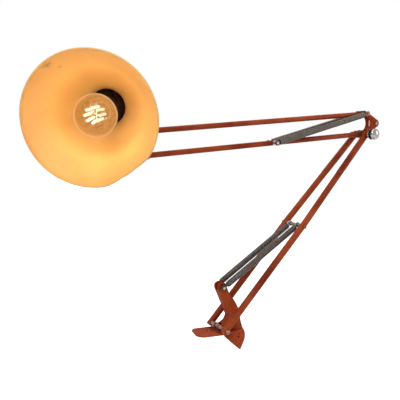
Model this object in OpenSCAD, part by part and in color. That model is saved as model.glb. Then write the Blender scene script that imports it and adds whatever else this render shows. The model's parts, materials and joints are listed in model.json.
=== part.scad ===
// Architect lamp: a spring balanced two arm desk lamp with a bell shade.
// Units are millimetres and +Z is up. The origin is the centre of the screw hole
// on the underside of the desk bracket, so the plane z = 0 is the desk top.
// The arms stand in one upright plane, which is turned about the spindle.

/* [Desk bracket] */
// Length of the tongue from the screw hole to its free end
tongue_reach = 28.5; // [24:0.5:60]
// Width of the tongue
tongue_w = 43; // [38:1:60]
// Thickness of the tongue
tongue_t = 3; // [2.5:0.5:4]
// Radius of the tongue's near corner at its free end
tongue_corner = 16; // [4:1:18]
// Radius of the tongue's far corner at its free end
far_corner = 9; // [4:1:18]
// Diameter of the fixing screw hole
screw_hole_d = 5.5; // [4:0.5:7]
// Distance from the screw hole to the spindle
spindle_x = 49; // [44:0.5:70]
// Greatest diameter of the boss that holds the spindle
boss_d = 38.8; // [34:0.4:44]
// Height of the boss above the desk top
boss_top = 4.9; // [4.5:0.1:8]
// Depth of the boss under the desk top, on its axis
boss_drop = 29.5; // [26:0.5:34]
// Slope of the scarfed lower end of the boss, in degrees
boss_scarf = 42.5; // [34:0.5:46]

/* [Swivel bracket] */
// Turn of the arm plane about the spindle, in degrees
arm_turn = 9; // [-60:1:60]
// Diameter of the spindle
spindle_d = 12; // [10:0.5:14]
// Thickness of the thrust washer under the bracket
thrust_t = 1.2; // [0.8:0.2:2]
// Distance from the spindle back to the base axle
axle_back = 34.5; // [32:0.5:38]
// Height of the base axle above the boss
axle_up = 7; // [6.6:0.2:10]
// Outside width of the folded bracket
bracket_w = 14; // [13:0.5:18]
// Sheet thickness of the folded bracket
bracket_sheet = 2; // [1.5:0.25:2.5]
// Height of the lower anchor pin above the base axle
lever_up = 73; // [66:1:84]
// Distance of the lower anchor pin ahead of the base axle
lever_ahead = 4; // [1:0.5:7]

/* [Lower arm] */
// Length of the lower arm between its axles
lower_len = 470.5; // [400:0.5:560]
// Lift of the lower arm above level, in degrees
lower_lift = 46.5; // [35:0.1:60]
// Outer diameter of the lower tubes
tube_d = 12; // [10:0.5:13]
// Wall of the lower tubes
tube_wall = 1.2; // [0.8:0.1:1.6]
// Distance between the two lower tubes at the base
tube_spread = 52; // [48:1:60]
// Distance between the two lower tubes at the elbow
elbow_spread = 30; // [28:1:34]
// Distance from the base axle to the crossbar
crossbar_at = 238; // [210:1:280]
// Diameter of the crossbar
crossbar_d = 7; // [6:0.5:8]

/* [Elbow] */
// Outside width of the elbow bracket
elbow_w = 10; // [9:0.5:12]
// Sheet thickness of the elbow bracket
elbow_sheet = 1.5; // [1:0.25:2]
// Height of the top pin above the elbow axle
link_up = 39.5; // [36:0.5:44]
// Distance of the top pin ahead of the elbow axle
link_ahead = 4.5; // [2:0.5:6]
// Distance of the tie bolt ahead of the elbow axle
tie_ahead = 35.5; // [32:0.5:38]
// Height of the tie bolt above the elbow axle
tie_up = 21.5; // [18:0.5:24]
// Diameter of the domed elbow knob
knob_d = 21.5; // [18:0.5:26]
// Length of the elbow knob
knob_len = 21; // [18:1:26]

/* [Upper arm] */
// Length of the upper arm between its pins
upper_len = 472; // [420:1:560]
// Fall of the upper arm towards the head, in degrees
upper_drop = 4.1; // [-8:0.1:10]
// Diameter of the two upper rods
rod_d = 9.5; // [8.5:0.25:10]
// Wall of the upper rods
rod_wall = 1; // [0.8:0.1:1.4]
// Distance from the elbow axle to the spring pin on the lower rod
rod_pin_at = 212; // [190:1:240]

/* [Springs] */
// Outer diameter of the four springs
spring_d = 10; // [9:0.25:11]
// Wire diameter of the springs
wire_d = 1.8; // [1.4:0.1:2]
// Distance between the two springs of a pair
spring_gap = 23; // [22:0.5:28]
// Turns of each spring
spring_turns = 21; // [14:1:21]

/* [Head] */
// Distance from the head pins forward to the head swivel
head_reach = 43; // [38:1:50]
// Turn of the shade about the head swivel, in degrees
head_turn = 59; // [0:0.5:80]
// Tilt of the shade mouth below level, in degrees
shade_tilt = 11; // [0:0.1:40]
// Distance from the shade axis to the tilt bolt
tilt_drop = 36; // [35:0.5:42]

/* [Shade] */
// Outer diameter of the shade at its mouth
mouth_d = 181; // [160:0.2:220]
// Depth of the straight cone of the shade
cone_depth = 76; // [66:1:90]
// Outer diameter where the cone meets the round shoulder
shoulder_d = 108; // [96:1:120]
// Depth from the mouth to the neck of the shade
neck_depth = 110; // [106:1:114]
// Outer diameter of the neck
neck_d = 56; // [52:1:60]
// Sheet thickness of the shade
shade_sheet = 1; // [0.8:0.1:1.5]
// Radius of the rolled bead around the mouth
bead_r = 1.4; // [1:0.1:2]

/* [Bulb and socket] */
// Diameter of the glass globe
bulb_d = 60; // [55:1:65]
// Depth of the globe centre behind the mouth of the shade
bulb_depth = 36; // [30:1:40]
// Number of filament sticks
sticks = 8; // [4:1:8]
// Outer diameter of the lamp socket
socket_d = 41; // [38:0.5:44]
// Outer diameter of the shade ring on the socket
ring_d = 54; // [50:0.5:55]

/* [Hidden] */
$fn = 64;

// Paint and metal colours
paint = [0.59, 0.22, 0.13];
steel = [0.55, 0.55, 0.55];
dark_steel = [0.33, 0.33, 0.34];
chrome = [0.82, 0.83, 0.85];
brass = [0.75, 0.6, 0.35];
bakelite = [0.1, 0.06, 0.05];
enamel = [0.96, 0.93, 0.85];
clear_glass = [0.9, 0.95, 1, 0.35];
glow = [1, 0.85, 0.5];

// Running clearance on a radius, side clearance between faces, and a cut's overshoot
run_fit = 0.05;
side_gap = 0.2;
seat_gap = 0.3;
eps = 0.01;

// Pins and bolts
axle_d = 6;
pin_d = 5;
rod_pin_d = 5;
clip_t = 1.2;
clip_d = 11;

// Levels that follow from the sizes above
bracket_in = bracket_w - 2 * bracket_sheet;
elbow_in = elbow_w - 2 * elbow_sheet;
lug_t = elbow_in - 2 * side_gap;
lever_eye_r = 8.8;
axle_eye_r = 5.2;
pin_eye_r = 6;
tie_eye_r = 7.3;
elbow_eye_r = 8;
rod_eye_r = 6.4;
spring_mean_r = (spring_d - wire_d) / 2;
hook_r = pin_d / 2 + wire_d / 2 + seat_gap;
socket_front = neck_depth - 30;
cap_r = 13;
cap_len = 25;
cap_depth = bulb_depth + 76 - cap_len;

// Places in the plane of the arms, as [ahead, up] from a joint
lever_top = [lever_ahead, lever_up];
top_pin_at = [link_ahead, link_up];
tie_at = [tie_ahead, tie_up];
crossbar_xz = crossbar_at * [cos(lower_lift), sin(lower_lift)];
rod_pin_xz = -rod_pin_at * [cos(upper_drop), sin(upper_drop)];

// The frames of the moving bodies, each from the one below it
module at_turret() {
    translate([spindle_x, 0, boss_top]) rotate([0, 0, arm_turn]) children();
}

module at_base_axle() {
    at_turret() translate([-axle_back, 0, axle_up]) children();
}

module at_lower_arm() {
    at_base_axle() rotate([0, -lower_lift, 0]) children();
}

module at_elbow() {
    at_lower_arm() translate([lower_len, 0, 0]) rotate([0, lower_lift, 0]) children();
}

module at_upper_arm() {
    at_elbow() rotate([0, -upper_drop, 0]) children();
}

module at_head() {
    at_upper_arm() translate([-upper_len, 0, 0]) rotate([0, upper_drop, 0]) children();
}

sleeve_top = 30;
sleeve_len = 22;
tilt_ahead = 14;
tilt_up = 13.5;
pin_depth = neck_depth + 17;

module at_head_swivel() {
    at_head() translate([-head_reach, 0, sleeve_top]) rotate([0, 0, head_turn]) children();
}

module at_tilt() {
    at_head_swivel() translate([-tilt_ahead, 0, tilt_up]) rotate([0, -shade_tilt, 0]) children();
}

// In this frame +Z runs from the centre of the mouth into the shade
module at_shade() {
    at_tilt() translate([-pin_depth, 0, tilt_drop]) rotate([0, 90, 0]) children();
}

// Small helpers
module across(len, d) {
    rotate([90, 0, 0]) cylinder(h = len, d = d, center = true);
}

// Turns a flat outline drawn as [ahead, up] into a plate across the arms
module plate(width) {
    rotate([90, 0, 0]) linear_extrude(height = width, center = true) children();
}

// Copies at the near side and the far side of the lamp
module both_sides(reach) {
    for (side = [-1, 1]) translate([0, side * reach, 0]) children();
}

function unit2(v) = v / norm(v);
function arc(c, r, from, to, steps) =
    [for (i = [0 : steps]) c + r * [cos(from + (to - from) * i / steps),
                                    sin(from + (to - from) * i / steps)]];

// Outline of two round ends and the straight sides between them
inset = 0.04;
module link_outline(a, ra, b, rb) {
    gap = norm(b - a);
    aim = atan2(b[1] - a[1], b[0] - a[0]);
    flare = acos((ra - rb) / gap);
    left = [cos(aim + flare), sin(aim + flare)];
    right = [cos(aim - flare), sin(aim - flare)];
    translate(a) circle(r = ra);
    translate(b) circle(r = rb);
    polygon([a + (ra - inset) * left, b + (rb - inset) * left,
             b + (rb - inset) * right, a + (ra - inset) * right]);
}

// Desk bracket: a flat tongue and an acorn shaped boss with a scarfed lower end
boss_top_r = 14;
belly_down = 9.5;
tail_bend = 33;

module tongue_outline() {
    near = [tongue_corner - tongue_reach, tongue_corner - tongue_w / 2];
    far = [far_corner - tongue_reach, tongue_w / 2 - far_corner];
    waist_x = spindle_x - 31;
    translate(near) circle(r = tongue_corner);
    translate(far) circle(r = far_corner);
    polygon([[near[0], -tongue_w / 2], [waist_x, -tongue_w / 2],
             [spindle_x, -boss_top_r - 2], [spindle_x, boss_top_r + 2],
             [waist_x, tongue_w / 2], [far[0], tongue_w / 2],
             [-tongue_reach, far[1]], [-tongue_reach, near[1]]]);
}

screw_sink = 1.5;

module boss_body() {
    belly_r = boss_d / 2;
    rise = boss_top + belly_down;
    step = belly_r - boss_top_r;
    top_bend = (rise * rise + step * step) / (2 * step);
    translate([spindle_x, 0, 0]) difference() {
        rotate_extrude() polygon(concat([[0, boss_top]],
            arc([belly_r - top_bend, -belly_down], top_bend, asin(rise / top_bend), 0, 8),
            arc([belly_r - tail_bend, -belly_down], tail_bend, 0, -22, 5),
            [[belly_r / 2, -boss_drop - 12], [0, -boss_drop - 12]]));
        translate([0, 0, -boss_drop]) rotate([0, boss_scarf, 0])
            translate([-100, -50, -100]) cube([200, 100, 100]);
    }
}

// Fills the corner under the tongue, so that the boss doesn't undercut the flat face
module boss_shoulder() {
    translate([0, 0, -belly_down]) linear_extrude(height = belly_down + 1) intersection() {
        tongue_outline();
        translate([spindle_x, 0]) circle(r = boss_d / 2 - inset);
    }
}

set_screw_d = 6;
set_screw_up = -7;

module desk_bracket() {
    color(paint) difference() {
        union() {
            linear_extrude(height = tongue_t) tongue_outline();
            boss_body();
            boss_shoulder();
        }
        translate([spindle_x, 0, -60]) cylinder(h = 100, d = spindle_d + 2 * run_fit);
        translate([0, 0, -1]) cylinder(h = tongue_t + 2, d = screw_hole_d);
        translate([0, 0, tongue_t - screw_sink])
            cylinder(h = screw_sink + eps, d1 = screw_hole_d, d2 = screw_hole_d + 2 * screw_sink);
        translate([spindle_x, -boss_d / 2 - 1, set_screw_up]) rotate([-90, 0, 0])
            cylinder(h = boss_d / 2 + 1, d = set_screw_d + 2 * run_fit);
    }
}

// Grub screw that bears on the spindle's groove
module spindle_set_screw() {
    len = boss_d / 2 - spindle_d / 2 - 1.2;
    color(dark_steel) translate([spindle_x, -spindle_d / 2 - seat_gap, set_screw_up])
        rotate([90, 0, 0]) difference() {
            cylinder(h = len, d = set_screw_d);
            translate([0, 0, len - 2.5]) cylinder(h = 3, d = 3, $fn = 6);
        }
}

module thrust_washer() {
    color(steel) at_turret() difference() {
        cylinder(h = thrust_t, d = spindle_d * 1.75);
        translate([0, 0, -1]) cylinder(h = thrust_t + 2, d = spindle_d + 2 * run_fit);
    }
}

tail_d = 7;

module swivel_spindle() {
    stem = boss_top + boss_drop - 8;
    color(steel) at_turret() {
        difference() {
            translate([0, 0, -stem]) cylinder(h = stem + thrust_t, d = spindle_d);
            translate([0, 0, -stem - eps]) difference() {
                cylinder(h = 1.5, d = spindle_d + 1);
                translate([0, 0, -eps]) cylinder(h = 1.6, d1 = spindle_d - 3, d2 = spindle_d);
            }
        }
        cylinder(h = thrust_t + bracket_sheet + 2, d = tail_d);
        translate([0, 0, thrust_t + bracket_sheet]) cylinder(h = 2, d1 = bracket_in - 1, d2 = tail_d);
    }
}

// Side outline of the swivel bracket, from the base axle as [ahead, up]
foot_front = axle_back + 12;
foot_low = thrust_t - axle_up;
lever_waist = [21, 32];
waist_r = 8;
rear_knee = [18.2, 18.8];
rear_heel = [14, 10];
rear_toe = [5.7, 4.9];

module swivel_bracket_outline() {
    link_outline(lever_top, lever_eye_r, lever_waist, waist_r);
    circle(r = axle_eye_r);
    polygon([lever_waist + [-6, 6], lever_waist + [4, 20], [33, 40], [38.8, 28], [42, 14],
             [43, 6], [foot_front, foot_low], [3, foot_low], [1.5, axle_eye_r - 0.6],
             rear_toe, rear_heel, rear_knee, lever_waist + [-6.5, -6]]);
}

// Edge of the web that joins the two plates, from the lever down to the axle
module swivel_web_outline() {
    fall = unit2(lever_waist - lever_top);
    side = [fall[1], -fall[0]];
    edge = [lever_top + side * (lever_eye_r - seat_gap) + 2 * fall,
            lever_waist + side * (waist_r - seat_gap) + 6 * fall,
            rear_knee + [seat_gap, seat_gap], rear_heel + [seat_gap, 0], rear_toe + [1, -0.4]];
    polygon([edge[0], edge[1], edge[2], edge[3], edge[4],
             edge[4] + [bracket_sheet, -0.6], edge[3] + [bracket_sheet, -0.6],
             edge[2] + [bracket_sheet, 0], edge[1] + [bracket_sheet, 0],
             edge[0] + [bracket_sheet, 0]]);
}

// Round flared foot of the swivel bracket, over the boss
module swivel_foot() {
    flare = 9;
    neck_r = bracket_w / 2 + 0.2;
    difference() {
        rotate_extrude() polygon(concat([[0, 0], [boss_top_r, 0]],
            arc([neck_r + flare, 10], flare, 252, 180, 6), [[neck_r, 12], [0, 12]]));
        translate([0, 0, bracket_sheet]) cylinder(h = 20, r = bracket_in / 2 - 0.2);
    }
}

module swivel_bracket() {
    color(paint) at_base_axle() difference() {
        union() {
            both_sides((bracket_w - bracket_sheet) / 2) plate(bracket_sheet)
                swivel_bracket_outline();
            plate(bracket_in + 1) swivel_web_outline();
            translate([axle_back, 0, foot_low]) swivel_foot();
        }
        across(bracket_w + 2, axle_d + 2 * run_fit);
        translate([lever_ahead, 0, lever_up]) across(bracket_w + 2, pin_d + 2 * run_fit);
        translate([axle_back, 0, foot_low - 1])
            cylinder(h = bracket_sheet + 2, d = tail_d + 2 * run_fit);
    }
}

// A plain pin across the arms with a groove for a clip at each end
module grooved_pin(half, d) {
    difference() {
        across(2 * half, d);
        both_sides(half - 1 - clip_t / 2) difference() {
            across(clip_t, d + 1);
            across(clip_t + 1, d - 1);
        }
    }
}

module pin_clips(half, d) {
    both_sides(half - 1 - clip_t / 2) difference() {
        across(clip_t - 0.2, clip_d - 1);
        across(clip_t + 1, d - 0.9);
        translate([0, 0, -clip_d]) cube([d - 2, clip_t + 1, 2 * clip_d], center = true);
    }
}

pin_half = spring_gap / 2 + wire_d / 2 + 1.4 + clip_t;

module lower_anchor_pin() {
    color(steel) at_base_axle() translate([lever_ahead, 0, lever_up]) grooved_pin(pin_half, pin_d);
}

module lower_pin_clips() {
    color(dark_steel) at_base_axle() translate([lever_ahead, 0, lever_up])
        pin_clips(pin_half, pin_d);
}

base_axle_half = tube_spread / 2 + tube_d / 2 + 0.6;
stud_d = 4;
stud_len = 2.8;

// Base axle with a thinner threaded stud on the near side
module base_axle() {
    color(steel) at_base_axle() {
        across(2 * base_axle_half, axle_d);
        translate([0, -base_axle_half - (stud_len - 1) / 2, 0]) across(stud_len + 1, stud_d);
    }
}

// Spacer tubes between the bracket and the lower tubes
module outer_spacers() {
    inner = bracket_w / 2 + side_gap / 2;
    outer = tube_spread / 2 - tube_d / 2 - side_gap / 2;
    color(brass) at_base_axle() both_sides((inner + outer) / 2) difference() {
        across(outer - inner, axle_d + 3);
        across(outer, axle_d + 2 * run_fit);
    }
}

module middle_spacer() {
    color(brass) at_base_axle() difference() {
        across(bracket_in - 2 * side_gap, axle_d + 3);
        across(bracket_in, axle_d + 2 * run_fit);
    }
}

// Small round cap nut on the stud
module base_axle_nut() {
    color(brass) at_base_axle() translate([0, -base_axle_half, 0]) rotate([90, 0, 0])
        difference() {
            intersection() {
                cylinder(h = stud_len + 1.2, d = 7.4);
                translate([0, 0, -1]) sphere(r = 5.3);
            }
            translate([0, 0, -1]) cylinder(h = stud_len + 1.2, d = stud_d + 2 * run_fit);
        }
}

// Lower tubes: straight from the axle to the crossbar, then drawn in to the elbow
bend_at = crossbar_at + 7;
tube_lean = atan2((tube_spread - elbow_spread) / 2, lower_len - bend_at);
upper_run = (lower_len - bend_at) / cos(tube_lean);

// One bent round bar, mitred just past the crossbar, with plain ends
module bent_bar(d, from, to) {
    difference() {
        translate([from, 0, 0]) rotate([0, 90, 0]) cylinder(h = bend_at + 20 - from, d = d);
        translate([bend_at, 0, 0]) rotate([0, 0, tube_lean / 2])
            translate([0, -50, -50]) cube([100, 100, 100]);
    }
    difference() {
        translate([bend_at, 0, 0]) rotate([0, 0, tube_lean]) translate([-20, 0, 0])
            rotate([0, 90, 0]) cylinder(h = upper_run + 20 + to, d = d);
        translate([bend_at, 0, 0]) rotate([0, 0, tube_lean / 2])
            translate([-100, -50, -50]) cube([100, 100, 100]);
    }
}

tube_plug = 9;

// The near tube stands on the -Y side of the lamp
module lower_tube() {
    shift = (tube_spread - elbow_spread) / 2;
    end_r = tube_d / 2 + 0.7;
    translate([0, -tube_spread / 2, 0]) difference() {
        intersection() {
            bent_bar(tube_d, -tube_d, tube_d);
            union() {
                across(60, 2 * end_r);
                translate([0, -30, -tube_d]) cube([lower_len, 60, 2 * tube_d]);
                translate([lower_len, shift, 0]) across(60, 2 * end_r);
            }
        }
        bent_bar(tube_d - 2 * tube_wall, tube_plug, -tube_plug);
        across(tube_d + 4, axle_d + 2 * run_fit);
        translate([crossbar_at, 0, 0]) across(tube_d + 4, crossbar_d - 1);
        translate([lower_len, shift, 0]) across(tube_d + 4, axle_d + 2 * run_fit);
    }
}

module lower_tube_near() {
    color(paint) at_lower_arm() lower_tube();
}

module lower_tube_far() {
    color(paint) at_lower_arm() mirror([0, 1, 0]) lower_tube();
}

// Crossbar with shouldered ends riveted into both tubes
module crossbar() {
    span = tube_spread - tube_d;
    color(steel) at_lower_arm() translate([crossbar_at, 0, 0]) {
        across(span - side_gap, crossbar_d);
        across(tube_spread + tube_d + 1.6, crossbar_d - 1 - 2 * run_fit);
        both_sides(tube_spread / 2 + tube_d / 2 + 0.6) across(1, crossbar_d + 1);
    }
}

// A spring is one unbroken wire: a loop around its pin, a straight shank, then even turns
hook_steps = 12;
ring_steps = 8;
shank = 10.5;

function hook_point(i) = let (a = 10 + (300 - 10) * i / hook_steps)
    [hook_r * cos(a), hook_r * sin(a), 0];
function coil_point(i, pitch) = let (
        a = 90 + 360 * i / ring_steps,
        grow = min(1, i / ring_steps * 1.6),
        r = spring_mean_r * (0.12 + 0.88 * grow))
    [shank + pitch * i / ring_steps, r * sin(a), r * cos(a)];
function wire_path(pitch) = concat(
    [for (i = [0 : hook_steps]) hook_point(i)],
    [for (i = [1 : spring_turns * ring_steps]) coil_point(i, pitch)]);

function unit3(v) = v / norm(v);
function tangents(p) = [for (i = [0 : len(p) - 1])
    unit3(p[min(i + 1, len(p) - 1)] - p[max(i - 1, 0)])];
// Carries a side direction along the wire without twisting it
function carried(n, t) = unit3(n - (n * t) * t);
function side_ways(t) = [for (i = 0, n = carried([0, 0, 1], t[0]); i < len(t);
    i = i + 1, n = i < len(t) ? carried(n, t[i]) : n) n];

module wire(p, d, sides = 6) {
    t = tangents(p);
    n = side_ways(t);
    rings = len(p);
    points = [for (i = [0 : rings - 1]) for (k = [0 : sides - 1])
        p[i] + d / 2 * (cos(360 * k / sides) * n[i] + sin(360 * k / sides) * cross(t[i], n[i]))];
    walls = [for (i = [0 : rings - 2]) for (k = [0 : sides - 1]) for (half = [0, 1])
        let (a = i * sides + k, b = i * sides + (k + 1) % sides, c = b + sides, e = a + sides)
        half == 0 ? [a, b, c] : [a, c, e]];
    first = [for (k = [1 : sides - 2]) [0, k + 1, k]];
    last_ring = (rings - 1) * sides;
    last = [for (k = [1 : sides - 2]) [last_ring, last_ring + k, last_ring + k + 1]];
    polyhedron(points = points, faces = concat(first, walls, last));
}

// Least distance between wire centres more than most of a turn apart, less the wire
function self_gap(p, d) = min([for (i = [0 : len(p) - 1])
    for (j = [i + ring_steps - 1 : min(i + 3 * ring_steps, len(p) - 1)]) norm(p[i] - p[j])]) - d;

// Distances from a bar or pin to the last turn and to the far end of the plug
coil_end = 8.5;
plug_end = 16;

// from is the pin with the hook, to is the bar with the eye
module spring(from, to) {
    run = norm(to - from);
    pitch = (run - shank - coil_end) / spring_turns;
    aim = atan2(to[1] - from[1], to[0] - from[0]);
    path = wire_path(pitch);
    echo(spring_self_gap = self_gap(path, wire_d));
    translate([from[0], 0, from[1]]) rotate([0, -aim, 0]) rotate([90, 0, 0]) wire(path, wire_d);
}

// A turned plug inside the last turns, with a flat ring around the bar
module spring_eye(from, to, bar_d) {
    aim = atan2(to[1] - from[1], to[0] - from[0]);
    plug_d = spring_d - 2 * wire_d - 1.4;
    ring_r = bar_d / 2 + run_fit;
    plug_from = ring_r + 3.5;
    translate([to[0], 0, to[1]]) rotate([0, -aim, 0]) difference() {
        union() {
            across(3, 2 * ring_r + 4);
            translate([-plug_end, 0, 0]) rotate([0, 90, 0])
                cylinder(h = plug_end - plug_from, d = plug_d);
            translate([-plug_from - 1, 0, 0]) rotate([0, 90, 0])
                cylinder(h = plug_from - ring_r, d = 3.4);
        }
        across(5, 2 * ring_r);
    }
}

module lower_spring_near() {
    color(dark_steel) at_base_axle() translate([0, -spring_gap / 2, 0])
        spring(lever_top, crossbar_xz);
}

module lower_spring_far() {
    color(dark_steel) at_base_axle() translate([0, spring_gap / 2, 0])
        spring(lever_top, crossbar_xz);
}

module lower_spring_eyes() {
    color(steel) at_base_axle() both_sides(spring_gap / 2)
        spring_eye(lever_top, crossbar_xz, crossbar_d);
}

module upper_spring_near() {
    color(dark_steel) at_elbow() translate([0, -spring_gap / 2, 0])
        spring(top_pin_at, rod_pin_xz);
}

module upper_spring_far() {
    color(dark_steel) at_elbow() translate([0, spring_gap / 2, 0])
        spring(top_pin_at, rod_pin_xz);
}

module upper_spring_eyes() {
    color(steel) at_elbow() both_sides(spring_gap / 2)
        spring_eye(top_pin_at, rod_pin_xz, rod_pin_d);
}

// Elbow axle, with its head on the far side and its thread in the knob
elbow_half = elbow_spread / 2 + tube_d / 2 + 0.6;

module elbow_axle() {
    color(steel) at_elbow() {
        translate([0, -knob_len / 4, 0]) across(2 * elbow_half + knob_len / 2, axle_d);
        translate([0, elbow_half, 0]) rotate([-90, 0, 0]) {
            cylinder(h = 4, d = 11, $fn = 6);
        }
    }
}

module elbow_washers() {
    inner = elbow_w / 2 + side_gap / 2;
    outer = elbow_spread / 2 - tube_d / 2 - 0.45;
    color(steel) at_elbow() both_sides((inner + outer) / 2) difference() {
        across(outer - inner, axle_d + 4);
        across(outer, axle_d + 2 * run_fit);
    }
}

module knob_washer() {
    color(dark_steel) at_elbow() translate([0, -elbow_half - 0.5, 0]) difference() {
        across(1, axle_d * 2);
        across(3, axle_d + 2 * run_fit);
    }
}

// Mushroom knob: a waisted neck and a polished dome
module elbow_knob() {
    neck_r = 5.5;
    rim_at = knob_len * 0.52;
    dome = knob_len - rim_at - 1.5;
    r = knob_d / 2;
    dome_r = (r * r + dome * dome) / (2 * dome);
    dome_half = asin(r / dome_r);
    color(chrome) at_elbow() translate([0, -elbow_half - 1.1, 0]) rotate([90, 0, 0])
        difference() {
            rotate_extrude($fn = 96) polygon(concat(
                [[0, 0], [neck_r, 0], [neck_r, rim_at * 0.4]],
                arc([r - 0.5, rim_at * 0.4], r - 0.5 - neck_r, 180, 115, 6),
                [[r, rim_at], [r, rim_at + 1.5]],
                arc([0, rim_at + 1.5 + dome - dome_r], dome_r, 90 - dome_half, 90, 12)));
            translate([0, 0, -1]) cylinder(h = knob_len / 2 + 1.2, d = axle_d + 2 * run_fit);
        }
}

// Folded elbow bracket: three eyes, a round notch towards the arms and its web
notch_at = [-0.6, 20.8];
notch_r = 17;

module elbow_outline() {
    difference() {
        union() {
            link_outline([0, 0], elbow_eye_r, tie_at, tie_eye_r);
            link_outline(top_pin_at, pin_eye_r, tie_at, tie_eye_r);
            polygon([[0, 0], tie_at, top_pin_at]);
        }
        difference() {
            translate(notch_at) circle(r = notch_r);
            circle(r = elbow_eye_r);
            translate(top_pin_at) circle(r = pin_eye_r);
        }
    }
}

module elbow_bracket() {
    web_low = elbow_eye_r + 1;
    web_high = link_up - pin_eye_r - 0.5;
    color(paint) at_elbow() difference() {
        union() {
            both_sides((elbow_w - elbow_sheet) / 2) plate(elbow_sheet) elbow_outline();
            plate(elbow_w) intersection() {
                difference() {
                    translate(notch_at) circle(r = notch_r + elbow_sheet);
                    translate(notch_at) circle(r = notch_r);
                }
                translate([0, web_low]) square([40, web_high - web_low]);
            }
        }
        across(elbow_w + 2, axle_d + 2 * run_fit);
        translate([link_ahead, 0, link_up]) across(elbow_w + 2, pin_d + 2 * run_fit);
        translate([tie_ahead, 0, tie_up]) across(elbow_w + 2, pin_d + 2 * run_fit);
    }
}

module tie_bolt() {
    half = elbow_w / 2;
    color(steel) at_elbow() translate([tie_ahead, 0, tie_up]) {
        across(elbow_w + 2, pin_d);
        both_sides(half + 1.05) across(1.9, pin_d * 1.5);
    }
}

module tie_spacer() {
    color(steel) at_elbow() translate([tie_ahead, 0, tie_up]) difference() {
        across(elbow_in - 0.1, pin_d + 3);
        across(elbow_in + 1, pin_d + 2 * run_fit);
    }
}

module top_pin() {
    color(steel) at_elbow() translate([link_ahead, 0, link_up]) grooved_pin(pin_half, pin_d);
}

module top_pin_clips() {
    color(dark_steel) at_elbow() translate([link_ahead, 0, link_up]) pin_clips(pin_half, pin_d);
}

// A drawn tube whose flattened ends are eyes across the arms
module rod(eye_d) {
    flat = 16;
    difference() {
        union() {
            translate([-upper_len + flat, 0, 0]) rotate([0, 90, 0])
                cylinder(h = upper_len - 2 * flat, d = rod_d);
            for (x = [0, -upper_len]) translate([x, 0, 0]) across(lug_t, 2 * rod_eye_r);
            intersection() {
                translate([-upper_len, 0, 0]) rotate([0, 90, 0])
                    cylinder(h = upper_len, d = 2 * rod_eye_r);
                cube([2 * upper_len + 1, lug_t, 2 * rod_eye_r], center = true);
                union() for (x = [-flat, -upper_len]) translate([x, -20, -20])
                    cube([flat, 40, 40]);
            }
        }
        translate([-upper_len + flat, 0, 0]) rotate([0, 90, 0])
            cylinder(h = upper_len - 2 * flat, d = rod_d - 2 * rod_wall);
        translate([-upper_len, 0, 0]) rotate([0, 90, 0]) cylinder(h = upper_len, d = 2);
        across(elbow_w, eye_d + 2 * run_fit);
        translate([-upper_len, 0, 0]) across(elbow_w, pin_d + 2 * run_fit);
    }
}

module lower_rod() {
    color(paint) at_upper_arm() difference() {
        rod(axle_d);
        translate([-rod_pin_at, 0, 0]) across(rod_d + 2, rod_pin_d);
    }
}

module upper_rod() {
    color(paint) at_elbow() translate([link_ahead, 0, link_up]) rotate([0, -upper_drop, 0])
        rod(pin_d);
}

// Pin through the lower rod that carries the eyes of the upper springs
module rod_spring_pin() {
    color(steel) at_upper_arm() translate([-rod_pin_at, 0, 0]) {
        grooved_pin(pin_half + 1.2, rod_pin_d);
        both_sides((spring_gap - 3) / 4 + rod_d / 4) difference() {
            across((spring_gap - 3) / 2 - rod_d / 2 - 2 * side_gap, rod_pin_d + 3);
            across(spring_gap, rod_pin_d - eps);
        }
    }
}

module rod_pin_clips() {
    color(dark_steel) at_upper_arm() translate([-rod_pin_at, 0, 0])
        pin_clips(pin_half + 1.2, rod_pin_d);
}

// Head bracket: two plates on the rod ends and an upright swivel sleeve
sleeve_d = 16;
swivel_d = 6.5;
sleeve_mid = sleeve_top - sleeve_len / 2;

module head_outline() {
    nose = [-head_reach + 3, sleeve_mid];
    link_outline([0, 0], pin_eye_r, nose, 8.5);
    link_outline(top_pin_at, pin_eye_r, nose, 8.5);
    polygon([[0, 0], top_pin_at, nose]);
}

module head_bracket() {
    color(paint) at_head() difference() {
        union() {
            both_sides((elbow_w - elbow_sheet) / 2) plate(elbow_sheet) difference() {
                head_outline();
                translate([-10, link_up / 2]) circle(r = 7);
            }
            translate([-head_reach, 0, sleeve_mid - sleeve_len / 2])
                cylinder(h = sleeve_len, d = sleeve_d);
        }
        across(elbow_w + 2, pin_d + 2 * run_fit);
        translate([link_ahead, 0, link_up]) across(elbow_w + 2, pin_d + 2 * run_fit);
        translate([-head_reach, 0, -50]) cylinder(h = 150, d = swivel_d + 2 * run_fit);
    }
}

module head_pins() {
    color(steel) at_head() for (at = [[0, 0], top_pin_at]) translate([at[0], 0, at[1]]) {
        across(elbow_w + 2, pin_d);
        both_sides(elbow_w / 2 + 1.05) across(1.9, pin_d * 1.5);
    }
}

// Knuckle: swivel pin, collar and an eye for the tilt bolt
knuckle_eye_r = 6;
knuckle_w = 8;
tilt_bolt_d = 5;

module head_knuckle() {
    collar_t = 3;
    color(steel) at_head_swivel() difference() {
        union() {
            translate([0, 0, -sleeve_len - 8]) cylinder(h = sleeve_len + 9, d = swivel_d);
            translate([0, 0, side_gap]) cylinder(h = collar_t, d = sleeve_d);
            plate(knuckle_w) {
                translate([-tilt_ahead, tilt_up]) circle(r = knuckle_eye_r);
                polygon([[6.5, 1.5], [6, 5], [-tilt_ahead + 2, tilt_up + knuckle_eye_r - 0.6],
                         [-tilt_ahead - 4, tilt_up - knuckle_eye_r + 1.8], [-6.5, 1.5]]);
            }
        }
        translate([-tilt_ahead, 0, tilt_up]) across(knuckle_w + 2, tilt_bolt_d + 2 * run_fit);
    }
}

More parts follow.
